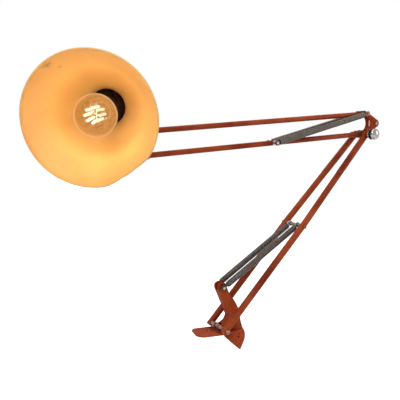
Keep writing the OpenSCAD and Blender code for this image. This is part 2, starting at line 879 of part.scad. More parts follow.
module head_swivel_nut() {
    color(steel) at_head_swivel() {
        translate([0, 0, -sleeve_len - 1.2]) difference() {
            cylinder(h = 1, d = sleeve_d - 3);
            translate([0, 0, -1]) cylinder(h = 3, d = swivel_d + 2 * run_fit);
        }
        translate([0, 0, -sleeve_len - 7]) difference() {
            cylinder(h = 5.6, r = 6.5 / cos(30), $fn = 6);
            translate([0, 0, -1]) cylinder(h = 8, d = swivel_d + 2 * run_fit);
        }
    }
}

// Lug on the socket cover: a saddle and two ears on the tilt bolt
cover_d = 54;
cover_len = 42;
cover_wall = 1.2;
saddle_t = 2;
ear_t = 2.5;
ear_r = 6.8;
lug_len = 22;

module shade_lug() {
    ear_at = knuckle_w / 2 + side_gap + ear_t / 2;
    color(paint) at_shade() difference() {
        union() {
            intersection() {
                translate([0, 0, pin_depth - lug_len / 2])
                    cylinder(h = lug_len, d = cover_d + 2 * saddle_t);
                translate([0, -9, 0]) cube([cover_d, 18, 200]);
            }
            both_sides(ear_at) translate([0, 0, pin_depth]) rotate([90, 0, 0])
                linear_extrude(height = ear_t, center = true) union() {
                    translate([tilt_drop, 0]) circle(r = ear_r);
                    translate([cover_d / 2, -ear_r]) square([tilt_drop - cover_d / 2, 2 * ear_r]);
                }
        }
        translate([0, 0, 50]) cylinder(h = 200, d = cover_d + 0.2);
        translate([tilt_drop, 0, pin_depth]) across(40, tilt_bolt_d + 2 * run_fit);
        for (z = [-8, 8]) translate([0, 0, pin_depth + z]) rotate([0, 90, 0])
            cylinder(h = 60, d = rivet_d + 0.1);
    }
}

rivet_d = 3;

module lug_rivets() {
    color(steel) at_shade() for (z = [-8, 8]) translate([0, 0, pin_depth + z]) rotate([0, 90, 0])
    {
        translate([0, 0, cover_d / 2 - cover_wall - 1])
            cylinder(h = saddle_t + cover_wall + 1.2, d = rivet_d);
        translate([0, 0, cover_d / 2 + saddle_t + 0.1]) cylinder(h = 1, d1 = 5.5, d2 = 3.5);
    }
}

module tilt_bolt() {
    half = knuckle_w / 2 + side_gap + ear_t;
    color(steel) at_tilt() {
        across(2 * half + 8, tilt_bolt_d);
        translate([0, half + 2.1, 0]) rotate([-90, 0, 0]) translate([0, 0, -2])
            cylinder(h = 3.6, d = 9);
    }
}

module tilt_nut() {
    half = knuckle_w / 2 + side_gap + ear_t;
    color(steel) at_tilt() translate([0, -half - 0.1, 0]) rotate([90, 0, 0]) difference() {
        cylinder(h = 3.6, r = 4 / cos(30), $fn = 6);
        translate([0, 0, -1]) cylinder(h = 6, d = tilt_bolt_d + 2 * run_fit);
    }
}

// Cup over the back of the socket, with vent slots
module socket_cover() {
    front = neck_depth + 3.2;
    color(paint) at_shade() difference() {
        translate([0, 0, front]) rotate_extrude() polygon(concat(
            [[0, cover_len]],
            arc([cover_d / 2 - 8, cover_len - 8], 8, 90, 0, 8),
            [[cover_d / 2, 0], [cover_d / 2 - cover_wall, 0]],
            arc([cover_d / 2 - 8, cover_len - 8], 8 - cover_wall, 0, 90, 8),
            [[0, cover_len - cover_wall]]));
        for (turn = [105 : 30 : 255]) rotate([0, 0, turn])
            translate([cover_d / 2 - 4, -1.5, front + 10]) cube([8, 3, 16]);
        for (z = [-8, 8]) translate([0, 0, pin_depth + z]) rotate([0, 90, 0])
            cylinder(h = 40, d = rivet_d + 0.1);
    }
}

// Shade: rolled mouth, straight cone, round shoulder and short neck
cone_slope = atan2((mouth_d - shoulder_d) / 2, cone_depth);
shoulder_from = [cone_depth, shoulder_d / 2];
shoulder_to = [neck_depth, neck_d / 2];
shoulder_n = [-sin(cone_slope), -cos(cone_slope)];
shoulder_run = shoulder_to - shoulder_from;
shoulder_bend = shoulder_run * shoulder_run / (2 * (shoulder_run * shoulder_n));
shoulder_mid = shoulder_from + shoulder_bend * shoulder_n;
shoulder_a0 = 90 - cone_slope;
shoulder_a1 = atan2(shoulder_to[1] - shoulder_mid[1], shoulder_to[0] - shoulder_mid[0]);

// Profile point [depth, radius] as a point of the revolved outline
function revolved(points) = [for (p = points) [p[1], p[0]]];

module shade() {
    outer = concat([[0, mouth_d / 2]],
        arc(shoulder_mid, shoulder_bend, shoulder_a0, shoulder_a1, 12),
        [[neck_depth + 3, neck_d / 2]]);
    inner = concat([[neck_depth + 3, socket_d / 2 + side_gap],
                    [neck_depth + 3 - shade_sheet, socket_d / 2 + side_gap],
                    [neck_depth + 3 - shade_sheet, neck_d / 2 - shade_sheet]],
        arc(shoulder_mid, shoulder_bend - shade_sheet, shoulder_a1, shoulder_a0, 12),
        [[0, mouth_d / 2 - shade_sheet / cos(cone_slope)]]);
    color(paint) at_shade() {
        rotate_extrude($fn = 128) polygon(revolved(concat(outer, inner)));
        rotate_extrude($fn = 128) translate([mouth_d / 2 - 0.4, 0]) circle(r = bead_r, $fn = 16);
    }
}

// Lamp socket body, with a shoulder behind the shade and a threaded skirt in front
shell_r = cap_r + seat_gap;

module lamp_socket() {
    back = neck_depth + 26;
    color(bakelite) at_shade() difference() {
        union() {
            translate([0, 0, socket_front]) cylinder(h = back - socket_front, d = socket_d);
            translate([0, 0, neck_depth + 3.2]) cylinder(h = 8, d = socket_d + 6);
            translate([0, 0, back - eps]) cylinder(h = 6, d1 = socket_d - 4, d2 = socket_d - 14);
        }
        translate([0, 0, socket_front - 1])
            cylinder(h = cap_depth + cap_len - socket_front + 6, r = shell_r + 1.2);
        translate([0, 0, back - 4]) cylinder(h = 20, d = 9);
    }
}

module socket_ring() {
    color(bakelite) at_shade() translate([0, 0, neck_depth - 8.2]) difference() {
        union() {
            cylinder(h = 6, d = socket_d + 6);
            translate([0, 0, 6]) cylinder(h = 4, d1 = socket_d + 6, d2 = ring_d - 1.5);
        }
        translate([0, 0, -1]) cylinder(h = 15, d = socket_d + 2 * run_fit);
    }
}

// Brass shell that takes the cap of the bulb
module socket_shell() {
    from = cap_depth + 4;
    to = cap_depth + cap_len + 0.2;
    color(brass) at_shade() translate([0, 0, from]) difference() {
        cylinder(h = to - from, r = shell_r + 0.9);
        translate([0, 0, -1]) cylinder(h = to - from, r = shell_r);
        cylinder(h = to, r = 7);
    }
}

// Bowed tongue under the tip of the bulb
module socket_contact() {
    tip = cap_depth + cap_len + 0.3;
    color(brass) at_shade() translate([0, 0, tip]) {
        cylinder(h = 0.8, d = 7);
        translate([-2.5, -2.5, 0]) cube([5, 5, 4.6]);
    }
}

// Glass: globe, waist and neck
globe_r = bulb_d / 2;
neck_glass_r = 13.4;

module bulb_outline(skin) {
    waist_a = 48;
    waist = [bulb_depth + globe_r * sin(waist_a), globe_r * cos(waist_a)];
    neck_at = cap_depth + 1;
    flare_r = (waist[1] - neck_glass_r) / (1 - cos(waist_a));
    flare_mid = [waist[0] + flare_r * sin(waist_a), waist[1] + flare_r * cos(waist_a)];
    polygon(revolved(concat(
        [[neck_at, 0]], [[neck_at, neck_glass_r - skin]],
        [for (p = arc(flare_mid, flare_r + skin, -90, -90 - waist_a, 8)) p],
        arc([bulb_depth, 0], globe_r - skin, 90 - waist_a, 180, 20))));
}

module bulb_glass() {
    color(clear_glass) at_shade() difference() {
        rotate_extrude($fn = 96) bulb_outline(0);
        translate([0, 0, eps]) rotate_extrude($fn = 96) bulb_outline(0.8);
    }
}

// Screw cap with its rolled thread as ridges
module bulb_cap() {
    thread = [for (i = [0 : 4]) for (k = [0 : 5])
        let (a = 60 * k) [cap_depth + 7 + 2.9 * i + 2.9 * k / 6, cap_r - 0.45 + 0.45 * cos(a)]];
    color(steel) at_shade() difference() {
        rotate_extrude() polygon(revolved(concat(
            [[cap_depth, 0], [cap_depth, neck_glass_r + 0.5], [cap_depth + 3, neck_glass_r + 0.5],
             [cap_depth + 4, cap_r - 0.45]],
            thread,
            [[cap_depth + cap_len - 3, cap_r - 1], [cap_depth + cap_len - 1, 6.5],
             [cap_depth + cap_len - 1, 0]])));
        translate([0, 0, cap_depth - 1]) cylinder(h = cap_len - 5, r = neck_glass_r - 1.9);
        translate([0, 0, cap_depth - 1]) cylinder(h = 2, r = neck_glass_r + 0.05);
        translate([0, 0, cap_depth]) cylinder(h = cap_len, r = 4.5);
    }
}

module bulb_insulator() {
    color(bakelite) at_shade() translate([0, 0, cap_depth + cap_len - 4]) difference() {
        cylinder(h = 3.4, r = 4.4);
        translate([0, 0, -1]) cylinder(h = 6, r = 2);
    }
}

module bulb_contact() {
    color(brass) at_shade() translate([0, 0, cap_depth + cap_len - 3]) {
        cylinder(h = 2.6, r = 1.95);
        translate([0, 0, 2.5]) cylinder(h = 0.4, r1 = 3.6, r2 = 3);
    }
}

// Glass stem: a flared foot in the cap, a tube and a pinch that holds the wires
stem_tip = bulb_depth + 16;

module bulb_stem() {
    foot = cap_depth + 0.5;
    color(clear_glass) at_shade() {
        rotate_extrude() polygon(revolved([[foot + 6, 0], [foot + 6, 10.8], [foot + 4.5, 11],
            [foot + 2, 8.4], [foot - 5, 5], [foot - 14, 3.6], [stem_tip, 3.2],
            [stem_tip - 1.5, 1.4], [stem_tip - 12, 1.3], [stem_tip - 13, 0]]));
    }
}

// A ring of slanted sticks between two wire crowns
stick_r = 1.1;
crown_r = 9;
sticks_from = bulb_depth - 16;
sticks_to = bulb_depth + 16;

function stick_low(i) = let (a = 360 * i / sticks) [crown_r * cos(a), crown_r * sin(a), sticks_from];
function stick_high(i) = let (a = 360 * i / sticks + 40)
    [crown_r * 0.85 * cos(a), crown_r * 0.85 * sin(a), sticks_to];

module bar(a, b, d) {
    v = b - a;
    translate(a) rotate([0, acos(v[2] / norm(v)), atan2(v[1], v[0])])
        cylinder(h = norm(v), d = d, $fn = 16);
}

module filaments() {
    color(glow) at_shade() for (i = [0 : sticks - 1]) bar(stick_low(i), stick_high(i), 2 * stick_r);
}

module stem_wires() {
    color(steel) at_shade() for (i = [0 : sticks - 1]) {
        low = stick_low(i);
        high = stick_high(i);
        reach = unit3(low - high);
        bar([0, 0, stem_tip - 11.8], low + 0.3 * reach, 0.6);
        bar([0, 0, stem_tip + 2], high - 0.3 * reach, 0.6);
    }
}

desk_bracket();
spindle_set_screw();
thrust_washer();
swivel_spindle();
swivel_bracket();
lower_anchor_pin();
lower_pin_clips();
base_axle();
outer_spacers();
middle_spacer();
base_axle_nut();
lower_tube_near();
lower_tube_far();
crossbar();
lower_spring_near();
lower_spring_far();
lower_spring_eyes();
elbow_axle();
elbow_washers();
knob_washer();
elbow_knob();
elbow_bracket();
tie_bolt();
tie_spacer();
top_pin();
top_pin_clips();
lower_rod();
upper_rod();
rod_spring_pin();
rod_pin_clips();
upper_spring_near();
upper_spring_far();
upper_spring_eyes();
head_bracket();
head_pins();
head_knuckle();
head_swivel_nut();
tilt_bolt();
tilt_nut();
shade_lug();
lug_rivets();
socket_cover();
shade();
lamp_socket();
socket_ring();
socket_shell();
socket_contact();
bulb_glass();
bulb_cap();
bulb_insulator();
bulb_contact();
bulb_stem();
stem_wires();
filaments();
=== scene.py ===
# %% [markdown]
# # An architect lamp
# A spring balanced work lamp: a screw-down bracket on the edge of a desk, a swivel
# bracket, two tubes up to an elbow, a parallelogram of two rods to the head, and a
# spun bell shade around a bare bulb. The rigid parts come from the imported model, in
# metres and in their places. This script dresses them: it gives them their finishes,
# and models anew what a solid model can't carry, such as the close wound springs and
# the dented shade.

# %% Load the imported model
import json
import math

import bpy
from mathutils import Matrix, Vector


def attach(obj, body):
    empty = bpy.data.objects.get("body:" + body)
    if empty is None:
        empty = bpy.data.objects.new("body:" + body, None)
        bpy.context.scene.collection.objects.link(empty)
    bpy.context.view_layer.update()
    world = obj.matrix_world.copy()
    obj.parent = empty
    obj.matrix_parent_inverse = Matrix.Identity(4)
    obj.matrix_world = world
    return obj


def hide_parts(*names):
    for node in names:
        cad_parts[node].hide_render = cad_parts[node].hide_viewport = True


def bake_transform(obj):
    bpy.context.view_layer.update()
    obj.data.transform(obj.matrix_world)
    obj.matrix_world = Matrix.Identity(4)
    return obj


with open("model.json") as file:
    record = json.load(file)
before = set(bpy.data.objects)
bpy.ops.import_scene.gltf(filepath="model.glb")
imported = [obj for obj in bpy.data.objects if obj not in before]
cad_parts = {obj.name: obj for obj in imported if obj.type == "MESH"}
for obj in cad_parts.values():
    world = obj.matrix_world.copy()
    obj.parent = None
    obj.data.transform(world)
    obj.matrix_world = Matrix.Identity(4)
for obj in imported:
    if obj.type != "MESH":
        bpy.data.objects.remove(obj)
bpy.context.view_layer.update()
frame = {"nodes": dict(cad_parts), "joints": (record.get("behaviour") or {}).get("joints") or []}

# %% [markdown]
# ## Where things are
# The joints of the lamp know where its axles are, so every place in this script is
# worked out from them. The arms stand in one upright plane. A place in it is given
# as ahead (along the arm), across (along the axles) and up, from the base axle.

# %% Places in the plane of the arms
MM = 0.001
joints = {joint["name"]: joint for joint in frame["joints"]}
base_axle = Vector(joints["lower_arm_tilt"]["pos_m"])
elbow_axle = Vector(joints["elbow_tilt"]["pos_m"])
tilt_bolt = Vector(joints["shade_tilt"]["pos_m"])
UP = Vector((0, 0, 1))
ACROSS = Vector(joints["lower_arm_tilt"]["axis"]).normalized()
AHEAD = ACROSS.cross(UP)


def arm_point(ahead, across, up, start=base_axle):
    """A point in metres, from a start on the arm's middle plane."""
    return start + AHEAD * ahead + ACROSS * across + UP * up


print("base axle", [round(value, 4) for value in base_axle])
print("elbow axle", [round(value, 4) for value in elbow_axle])

# %% [markdown]
# The shade hangs on the tilt bolt. Its frame is turned about the head swivel and
# tipped forward, with Z from the centre of the mouth into the shade and X down. One
# matrix carries every piece that belongs to the shade.

# %% The shade's own frame
HEAD_TURN, SHADE_TILT = math.radians(59), math.radians(11)
PIN_DEPTH, PIN_DROP = 0.127, 0.036
arm_heading = math.atan2(AHEAD.y, AHEAD.x)
shade_turn = Matrix.Rotation(arm_heading + HEAD_TURN, 4, "Z") @ Matrix.Rotation(
    -SHADE_TILT, 4, "Y"
)
in_shade = (
    Matrix.Translation(tilt_bolt)
    @ shade_turn
    @ Matrix.Translation((-PIN_DEPTH, 0, PIN_DROP))
    @ Matrix.Rotation(math.pi / 2, 4, "Y")
)
into_shade = in_shade.to_3x3() @ Vector((0, 0, 1))
print("mouth centre", [round(value, 3) for value in in_shade.translation])

# %% [markdown]
# ## The camera
# The picture is taken from the left, a little above the elbow. The lens and the
# direction come from a least squares fit to the edges of the tubes and rods in the
# photograph, and the size taken for the bulb sets the scale and so the distance. The
# fit gives the focal length in pixels, and a sensor of 36 mm turns it into a lens.

# %% Camera
FOCAL_PIXELS = 554.4
IMAGE_PIXELS = 400
SENSOR_WIDTH = 36.0
CAMERA_AHEAD, CAMERA_ACROSS, CAMERA_UP = -0.4749, -0.8333, 0.350
LOOK_AHEAD, LOOK_ACROSS, LOOK_DOWN = 0.4617, 0.8782, 0.1259
camera_data = bpy.data.cameras.new("photo_camera")
camera_data.sensor_width = SENSOR_WIDTH
camera_data.lens = FOCAL_PIXELS / IMAGE_PIXELS * camera_data.sensor_width
camera = bpy.data.objects.new("photo_camera", camera_data)
bpy.context.collection.objects.link(camera)
camera.location = arm_point(CAMERA_AHEAD, CAMERA_ACROSS, CAMERA_UP)
looking = AHEAD * LOOK_AHEAD + ACROSS * LOOK_ACROSS - UP * LOOK_DOWN
camera.rotation_euler = looking.to_track_quat("-Z", "Y").to_euler()
bpy.context.scene.camera = camera
print("lens", round(camera_data.lens, 2), "mm")

# %% [markdown]
# ## Floor and light
# The photograph has a plain white ground. A floor far below the bracket catches a
# soft shadow, and the world shows white to the camera and in reflections while it
# lights the lamp at a plain level. Three large soft lamps stand in for the studio, and
# two dark cards, which only reflections see, keep the metal from turning white.


# %% Floor, world and lamps
def seen_rays(tree):
    """1 for the rays that see a background: straight, in a mirror and through glass."""
    rays = tree.nodes.new("ShaderNodeLightPath")
    value = rays.outputs["Is Camera Ray"]
    for name in ("Is Glossy Ray", "Is Transmission Ray"):
        either = tree.nodes.new("ShaderNodeMath")
        either.operation = "MAXIMUM"
        tree.links.new(value, either.inputs[0])
        tree.links.new(rays.outputs[name], either.inputs[1])
        value = either.outputs[0]
    return value


FLOOR_DROP = 0.32
bpy.ops.mesh.primitive_plane_add(size=14, location=(0, 0, -FLOOR_DROP))
floor = bpy.context.object
floor.name = "floor"

floor_paint = bpy.data.materials.new("white_floor")
floor_paint.use_nodes = True
nodes, links = floor_paint.node_tree.nodes, floor_paint.node_tree.links
floor_shader = nodes["Principled BSDF"]
floor_shader.inputs["Base Color"].default_value = (0.9, 0.9, 0.9, 1)
floor_shader.inputs["Roughness"].default_value = 0.9
floor_glow = nodes.new("ShaderNodeEmission")
floor_glow.inputs["Strength"].default_value = 0.86
floor_sum = nodes.new("ShaderNodeAddShader")
floor_mix = nodes.new("ShaderNodeMixShader")
links.new(floor_shader.outputs[0], floor_sum.inputs[0])
links.new(floor_glow.outputs[0], floor_sum.inputs[1])
links.new(seen_rays(floor_paint.node_tree), floor_mix.inputs[0])
links.new(floor_shader.outputs[0], floor_mix.inputs[1])
links.new(floor_sum.outputs[0], floor_mix.inputs[2])
links.new(floor_mix.outputs[0], nodes["Material Output"].inputs["Surface"])
floor.data.materials.append(floor_paint)

world = bpy.data.worlds.new("studio")
bpy.context.scene.world = world
world.use_nodes = True
nodes, links = world.node_tree.nodes, world.node_tree.links
plain_light = nodes["Background"]
plain_light.inputs["Color"].default_value = (1, 1, 1, 1)
plain_light.inputs["Strength"].default_value = 0.42
seen_white = nodes.new("ShaderNodeBackground")
seen_white.inputs["Color"].default_value = (1, 1, 1, 1)
seen_white.inputs["Strength"].default_value = 1.0
world_mix = nodes.new("ShaderNodeMixShader")
links.new(seen_rays(world.node_tree), world_mix.inputs[0])
links.new(plain_light.outputs[0], world_mix.inputs[1])
links.new(seen_white.outputs[0], world_mix.inputs[2])
links.new(world_mix.outputs[0], nodes["World Output"].inputs["Surface"])


def soft_lamp(name, place, aim, size, watts):
    """A square area lamp at a place, turned to an aim."""
    data = bpy.data.lights.new(name, "AREA")
    data.shape = "SQUARE"
    data.size = size
    data.energy = watts
    lamp = bpy.data.objects.new(name, data)
    lamp.location = place
    lamp.rotation_euler = (aim - place).to_track_quat("-Z", "Y").to_euler()
    bpy.context.collection.objects.link(lamp)


lamp_middle = arm_point(0.05, 0, 0.2)


def dark_card(name, place, aim, width, height):
    """A dark card that only reflections see."""
    bpy.ops.mesh.primitive_plane_add(size=1)
    card = bpy.context.object
    card.name = name
    card.scale = (width, height, 1)
    card.location = place
    card.rotation_euler = (aim - place).to_track_quat("Z", "Y").to_euler()
    card.data.materials.append(card_paint)
    card.visible_camera = False
    card.visible_diffuse = False
    card.visible_shadow = False
    card.visible_transmission = False


card_paint = bpy.data.materials.new("dark_card_paint")
card_paint.use_nodes = True
card_shader = card_paint.node_tree.nodes["Principled BSDF"]
card_shader.inputs["Base Color"].default_value = (0.02, 0.018, 0.016, 1)
card_shader.inputs["Roughness"].default_value = 0.9
dark_card("low_card", arm_point(0.2, -0.25, -0.27), lamp_middle, 0.9, 0.35)
dark_card("left_card", arm_point(-1.5, 0.15, 0.35), elbow_axle, 0.75, 1.6)
soft_lamp("key_light", arm_point(-1.0, -0.9, 1.35), lamp_middle, 0.7, 13.5)
soft_lamp("side_light", arm_point(1.5, -1.0, 0.7), lamp_middle, 0.9, 8)
soft_lamp("top_light", arm_point(0.1, 0.5, 1.8), lamp_middle, 1.2, 13)
bpy.context.scene.view_settings.view_transform = "Standard"

# %% [markdown]
# ## Finishes
# Real finishes are never one flat colour. Each material mixes a few noises on the
# object's own coordinates: a broad one for patches of fading, a fine one for specks,
# and a bump for the skin of the paint. The constant numbers sit on the shader.


# %% A base for every material
def start_material(name, roughness, metallic=0.0):
    """A principled material with object coordinates; returns what the recipes use."""
    material = bpy.data.materials.new(name)
    material.use_nodes = True
    tree = material.node_tree
    shader = tree.nodes["Principled BSDF"]
    shader.inputs["Roughness"].default_value = roughness
    shader.inputs["Metallic"].default_value = metallic
    place = tree.nodes.new("ShaderNodeTexCoord").outputs["Object"]
    return material, tree, shader, place


def noise(tree, place, scale, detail=4.0, roughness=0.55):
    """A noise texture's value on the given coordinates."""
    node = tree.nodes.new("ShaderNodeTexNoise")
    node.inputs["Scale"].default_value = scale
    node.inputs["Detail"].default_value = detail
    node.inputs["Roughness"].default_value = roughness
    tree.links.new(place, node.inputs["Vector"])
    return node.outputs["Fac"]


def steps(tree, value, low, high, from_value=0.0, to_value=1.0):
    """Spreads a value's range from low..high to from_value..to_value, and holds it there."""
    node = tree.nodes.new("ShaderNodeMapRange")
    node.inputs["From Min"].default_value = low
    node.inputs["From Max"].default_value = high
    node.inputs["To Min"].default_value = from_value
    node.inputs["To Max"].default_value = to_value
    tree.links.new(value, node.inputs["Value"])
    return node.outputs["Result"]


def mix_colour(tree, factor, first, second):
    """Mixes two colours, each a tuple or a socket, by a value."""
    node = tree.nodes.new("ShaderNodeMix")
    node.data_type = "RGBA"
    tree.links.new(factor, node.inputs["Factor"])
    for socket, colour in ((node.inputs["A"], first), (node.inputs["B"], second)):
        if isinstance(colour, tuple):
            socket.default_value = (*colour, 1)
        else:
            tree.links.new(colour, socket)
    return node.outputs["Result"]


def bump(tree, shader, height, strength, distance, normal=None):
    """Turns a value into a relief of that depth in metres, over a given normal."""
    node = tree.nodes.new("ShaderNodeBump")
    if normal:
        tree.links.new(normal, node.inputs["Normal"])
    node.inputs["Strength"].default_value = strength
    node.inputs["Distance"].default_value = distance
    tree.links.new(height, node.inputs["Height"])
    tree.links.new(node.outputs["Normal"], shader.inputs["Normal"])


def along(tree, place, start, way):
    """How far a point lies from a start, in metres, along a direction."""
    offset = tree.nodes.new("ShaderNodeVectorMath")
    offset.operation = "SUBTRACT"
    offset.inputs[1].default_value = start
    reach = tree.nodes.new("ShaderNodeVectorMath")
    reach.operation = "DOT_PRODUCT"
    reach.inputs[1].default_value = way
    tree.links.new(place, offset.inputs[0])
    tree.links.new(offset.outputs["Vector"], reach.inputs[0])
    return reach.outputs["Value"]


def times(tree, first, second):
    """The product of two values."""
    node = tree.nodes.new("ShaderNodeMath")
    node.operation = "MULTIPLY"
    tree.links.new(first, node.inputs[0])
    tree.links.new(second, node.inputs[1])
    return node.outputs[0]


def spot(tree, place, centre, inner, outer, most=1.0):
    """A mark round one point: most inside the inner radius, nothing past the outer."""
    apart = tree.nodes.new("ShaderNodeVectorMath")
    apart.operation = "DISTANCE"
    apart.inputs[1].default_value = centre
    tree.links.new(place, apart.inputs[0])
    return steps(tree, apart.outputs["Value"], outer, inner, 0.0, most)


# %% [markdown]
# The lamp's paint is rust red and worn. A plain colour would look like plastic, so
# faded patches, grime and pale specks are mixed in by noise. A bevel node finds the
# sharp edges, where the paint has rubbed off, and ambient occlusion darkens the
# corners: dirt, and painted shade. The brackets shine less, and carry a few marks of
# their own: a painted highlight on the worn elbow fold, a scratch on the tongue and
# the painted shade of a slot on the boss.

# %% Rust red paint
RED_DEEP = (0.19, 0.023, 0.006)
RED_FADED = (0.36, 0.064, 0.018)
RED_DARK = (0.050, 0.007, 0.003)
RED_RUBBED = (0.52, 0.20, 0.115)


def painted(name, gloss, deep, faded, marks=()):
    """Old paint: faded patches, grime, specks, rubbed edges, and dirt and painted shade in the
    corners.
    """
    material, tree, shader, place = start_material(name, 0.42)
    shader.inputs["IOR"].default_value = gloss
    patches = steps(tree, noise(tree, place, 14, 5), 0.38, 0.66)
    colour = mix_colour(tree, patches, deep, faded)
    blotches = steps(tree, noise(tree, place, 75, 5, 0.65), 0.50, 0.70, 0.0, 0.5)
    colour = mix_colour(tree, blotches, colour, faded)
    grime = steps(tree, noise(tree, place, 55, 6, 0.7), 0.58, 0.76, 0.0, 0.6)
    colour = mix_colour(tree, grime, colour, RED_DARK)
    specks = steps(tree, noise(tree, place, 330, 3), 0.69, 0.73, 0.0, 0.75)
    colour = mix_colour(tree, specks, colour, RED_RUBBED)
    edge = tree.nodes.new("ShaderNodeBevel")
    edge.inputs["Radius"].default_value = 0.0006
    smooth_face = tree.nodes.new("ShaderNodeNewGeometry")
    turned = tree.nodes.new("ShaderNodeVectorMath")
    turned.operation = "DOT_PRODUCT"
    tree.links.new(edge.outputs["Normal"], turned.inputs[0])
    tree.links.new(smooth_face.outputs["Normal"], turned.inputs[1])
    worn_edge = steps(tree, turned.outputs["Value"], 0.985, 0.90)
    worn_where = steps(tree, noise(tree, place, 90, 5, 0.6), 0.50, 0.60)
    colour = mix_colour(tree, times(tree, worn_edge, worn_where), colour, RED_RUBBED)
    # Ambient occlusion darkens the corners: dirt, and painted shade where shade falls.
    corners = tree.nodes.new("ShaderNodeAmbientOcclusion")
    corners.samples = 6
    corners.inputs["Distance"].default_value = 0.012
    corner_dirt_and_shade = steps(tree, corners.outputs["AO"], 0.85, 0.35, 0.0, 0.7)
    colour = mix_colour(tree, corner_dirt_and_shade, colour, RED_DARK)
    for centre, inner, outer, mark in marks:
        colour = mix_colour(tree, spot(tree, place, centre, inner, outer, 0.9), colour, mark)
    tree.links.new(colour, shader.inputs["Base Color"])
    sheen = steps(tree, noise(tree, place, 38, 5), 0.35, 0.7, 0.30, 0.52)
    tree.links.new(sheen, shader.inputs["Roughness"])
    bump(tree, shader, noise(tree, place, 300, 3), 0.25, 0.0004, edge.outputs["Normal"])
    return material


red_paint = painted("rust_red_paint", 1.16, RED_DEEP, RED_FADED)
BRACKET_DEEP, BRACKET_FADED = (0.27, 0.032, 0.008), (0.44, 0.085, 0.028)
WORN_FOLD_HIGHLIGHT, SCRATCHED, SLOT_PAINTED_SHADE = (0.80, 0.58, 0.50), (0.60, 0.34, 0.25), (0.03, 0.005, 0.002)
SLOT_TOP, SLOT_STEP, SLOT_SPOTS = -0.0085, 0.0016, 5
bracket_marks = [
    # Three pale spots on the elbow fold are a painted highlight on a worn, bare edge.
    (arm_point(0.0166, -0.0052, 0.0250, elbow_axle), 0.0010, 0.0022, WORN_FOLD_HIGHLIGHT),
    (arm_point(0.0170, -0.0052, 0.0212, elbow_axle), 0.0014, 0.0026, WORN_FOLD_HIGHLIGHT),
    (arm_point(0.0166, -0.0052, 0.0174, elbow_axle), 0.0010, 0.0022, WORN_FOLD_HIGHLIGHT),
    (arm_point(-0.013, 0.0105, -0.010), 0.0003, 0.0020, SCRATCHED),
]
# Five dark spots on the boss are the painted shade of a slot.
bracket_marks += [
    (arm_point(0.0329, -0.0181, SLOT_TOP - SLOT_STEP * i), 0.0006, 0.0015, SLOT_PAINTED_SHADE)
    for i in range(SLOT_SPOTS)
]
bracket_paint = painted(
    "rust_red_bracket_paint", 1.07, BRACKET_DEEP, BRACKET_FADED, bracket_marks
)
print("paints", red_paint.name, bracket_paint.name)

# %% [markdown]
# The lamp's metals range from dark springs and grey turned pins to a plated knob and
# coppery spacers. One recipe serves them all, with a dull and a bright colour in
# patches, and a second noise for the roughness. The crossbar is bare steel with painted
# ends, so its colour changes with the distance from the middle plane.

# %% Metals
def metal(name, dull, bright, roughness, grain=260, relief=0.15):
    """A metal that goes from a dull to a bright colour in patches."""
    material, tree, shader, place = start_material(name, roughness, 1.0)
    patch = steps(tree, noise(tree, place, 120, 6, 0.6), 0.35, 0.65)
    tree.links.new(mix_colour(tree, patch, dull, bright), shader.inputs["Base Color"])
    rubbed = steps(
        tree, noise(tree, place, grain, 4), 0.3, 0.7, roughness * 0.7, roughness * 1.35
    )
    tree.links.new(rubbed, shader.inputs["Roughness"])
    bump(tree, shader, noise(tree, place, grain * 2.5, 3), relief, 0.0002)
    return material


spring_steel = metal(
    "spring_steel", (0.100, 0.084, 0.073), (0.148, 0.126, 0.110), 0.38, 120, 0.02
)
turned_steel = metal("turned_steel", (0.26, 0.23, 0.20), (0.46, 0.42, 0.38), 0.3)
dark_steel = metal("dark_steel", (0.03, 0.027, 0.025), (0.09, 0.08, 0.075), 0.38)
chrome_plate = metal("chrome_plate", (0.24, 0.22, 0.21), (0.38, 0.36, 0.35), 0.14, 90, 0.03)
copper_wash = metal("copper_wash", (0.17, 0.085, 0.065), (0.40, 0.24, 0.19), 0.34)
socket_brass = metal("socket_brass", (0.45, 0.30, 0.12), (0.75, 0.56, 0.28), 0.3)

BAR_ENDS, BAR_FADE = 19.5 * MM, 0.4 * MM
painted_bar, tree, shader, place = start_material("painted_bar", 0.34, 1.0)
from_middle = tree.nodes.new("ShaderNodeMath")
from_middle.operation = "ABSOLUTE"
tree.links.new(along(tree, place, base_axle, ACROSS), from_middle.inputs[0])
on_end = steps(tree, from_middle.outputs[0], BAR_ENDS - BAR_FADE, BAR_ENDS + BAR_FADE)
steel_patch = steps(tree, noise(tree, place, 120, 6, 0.6), 0.35, 0.65)
colour = mix_colour(tree, steel_patch, (0.16, 0.14, 0.12), (0.30, 0.27, 0.24))
colour = mix_colour(tree, on_end, colour, RED_DEEP)
tree.links.new(colour, shader.inputs["Base Color"])
tree.links.new(steps(tree, on_end, 0, 1, 1.0, 0.0), shader.inputs["Metallic"])
tree.links.new(steps(tree, on_end, 0, 1, 0.32, 0.5), shader.inputs["Roughness"])
bump(tree, shader, noise(tree, place, 600, 3), 0.1, 0.0002)

brown_steel = metal("brown_steel", (0.055, 0.032, 0.028), (0.18, 0.11, 0.09), 0.34)

# %% [markdown]
# The socket is a dark brown, glossy moulding. Two near colours are marbled together, a
# thin coat adds to the gloss, and a pale spot on its ring is a painted glint.

# %% Dark moulded socket
GLINT_AT = Vector((0.0105, -0.0225, 0.0795))
dark_moulding, tree, shader, place = start_material("dark_moulding", 0.22)
shader.inputs["IOR"].default_value = 1.22
marble = steps(tree, noise(tree, place, 60, 6, 0.65), 0.35, 0.7)
colour = mix_colour(tree, marble, (0.008, 0.003, 0.001), (0.038, 0.013, 0.005))
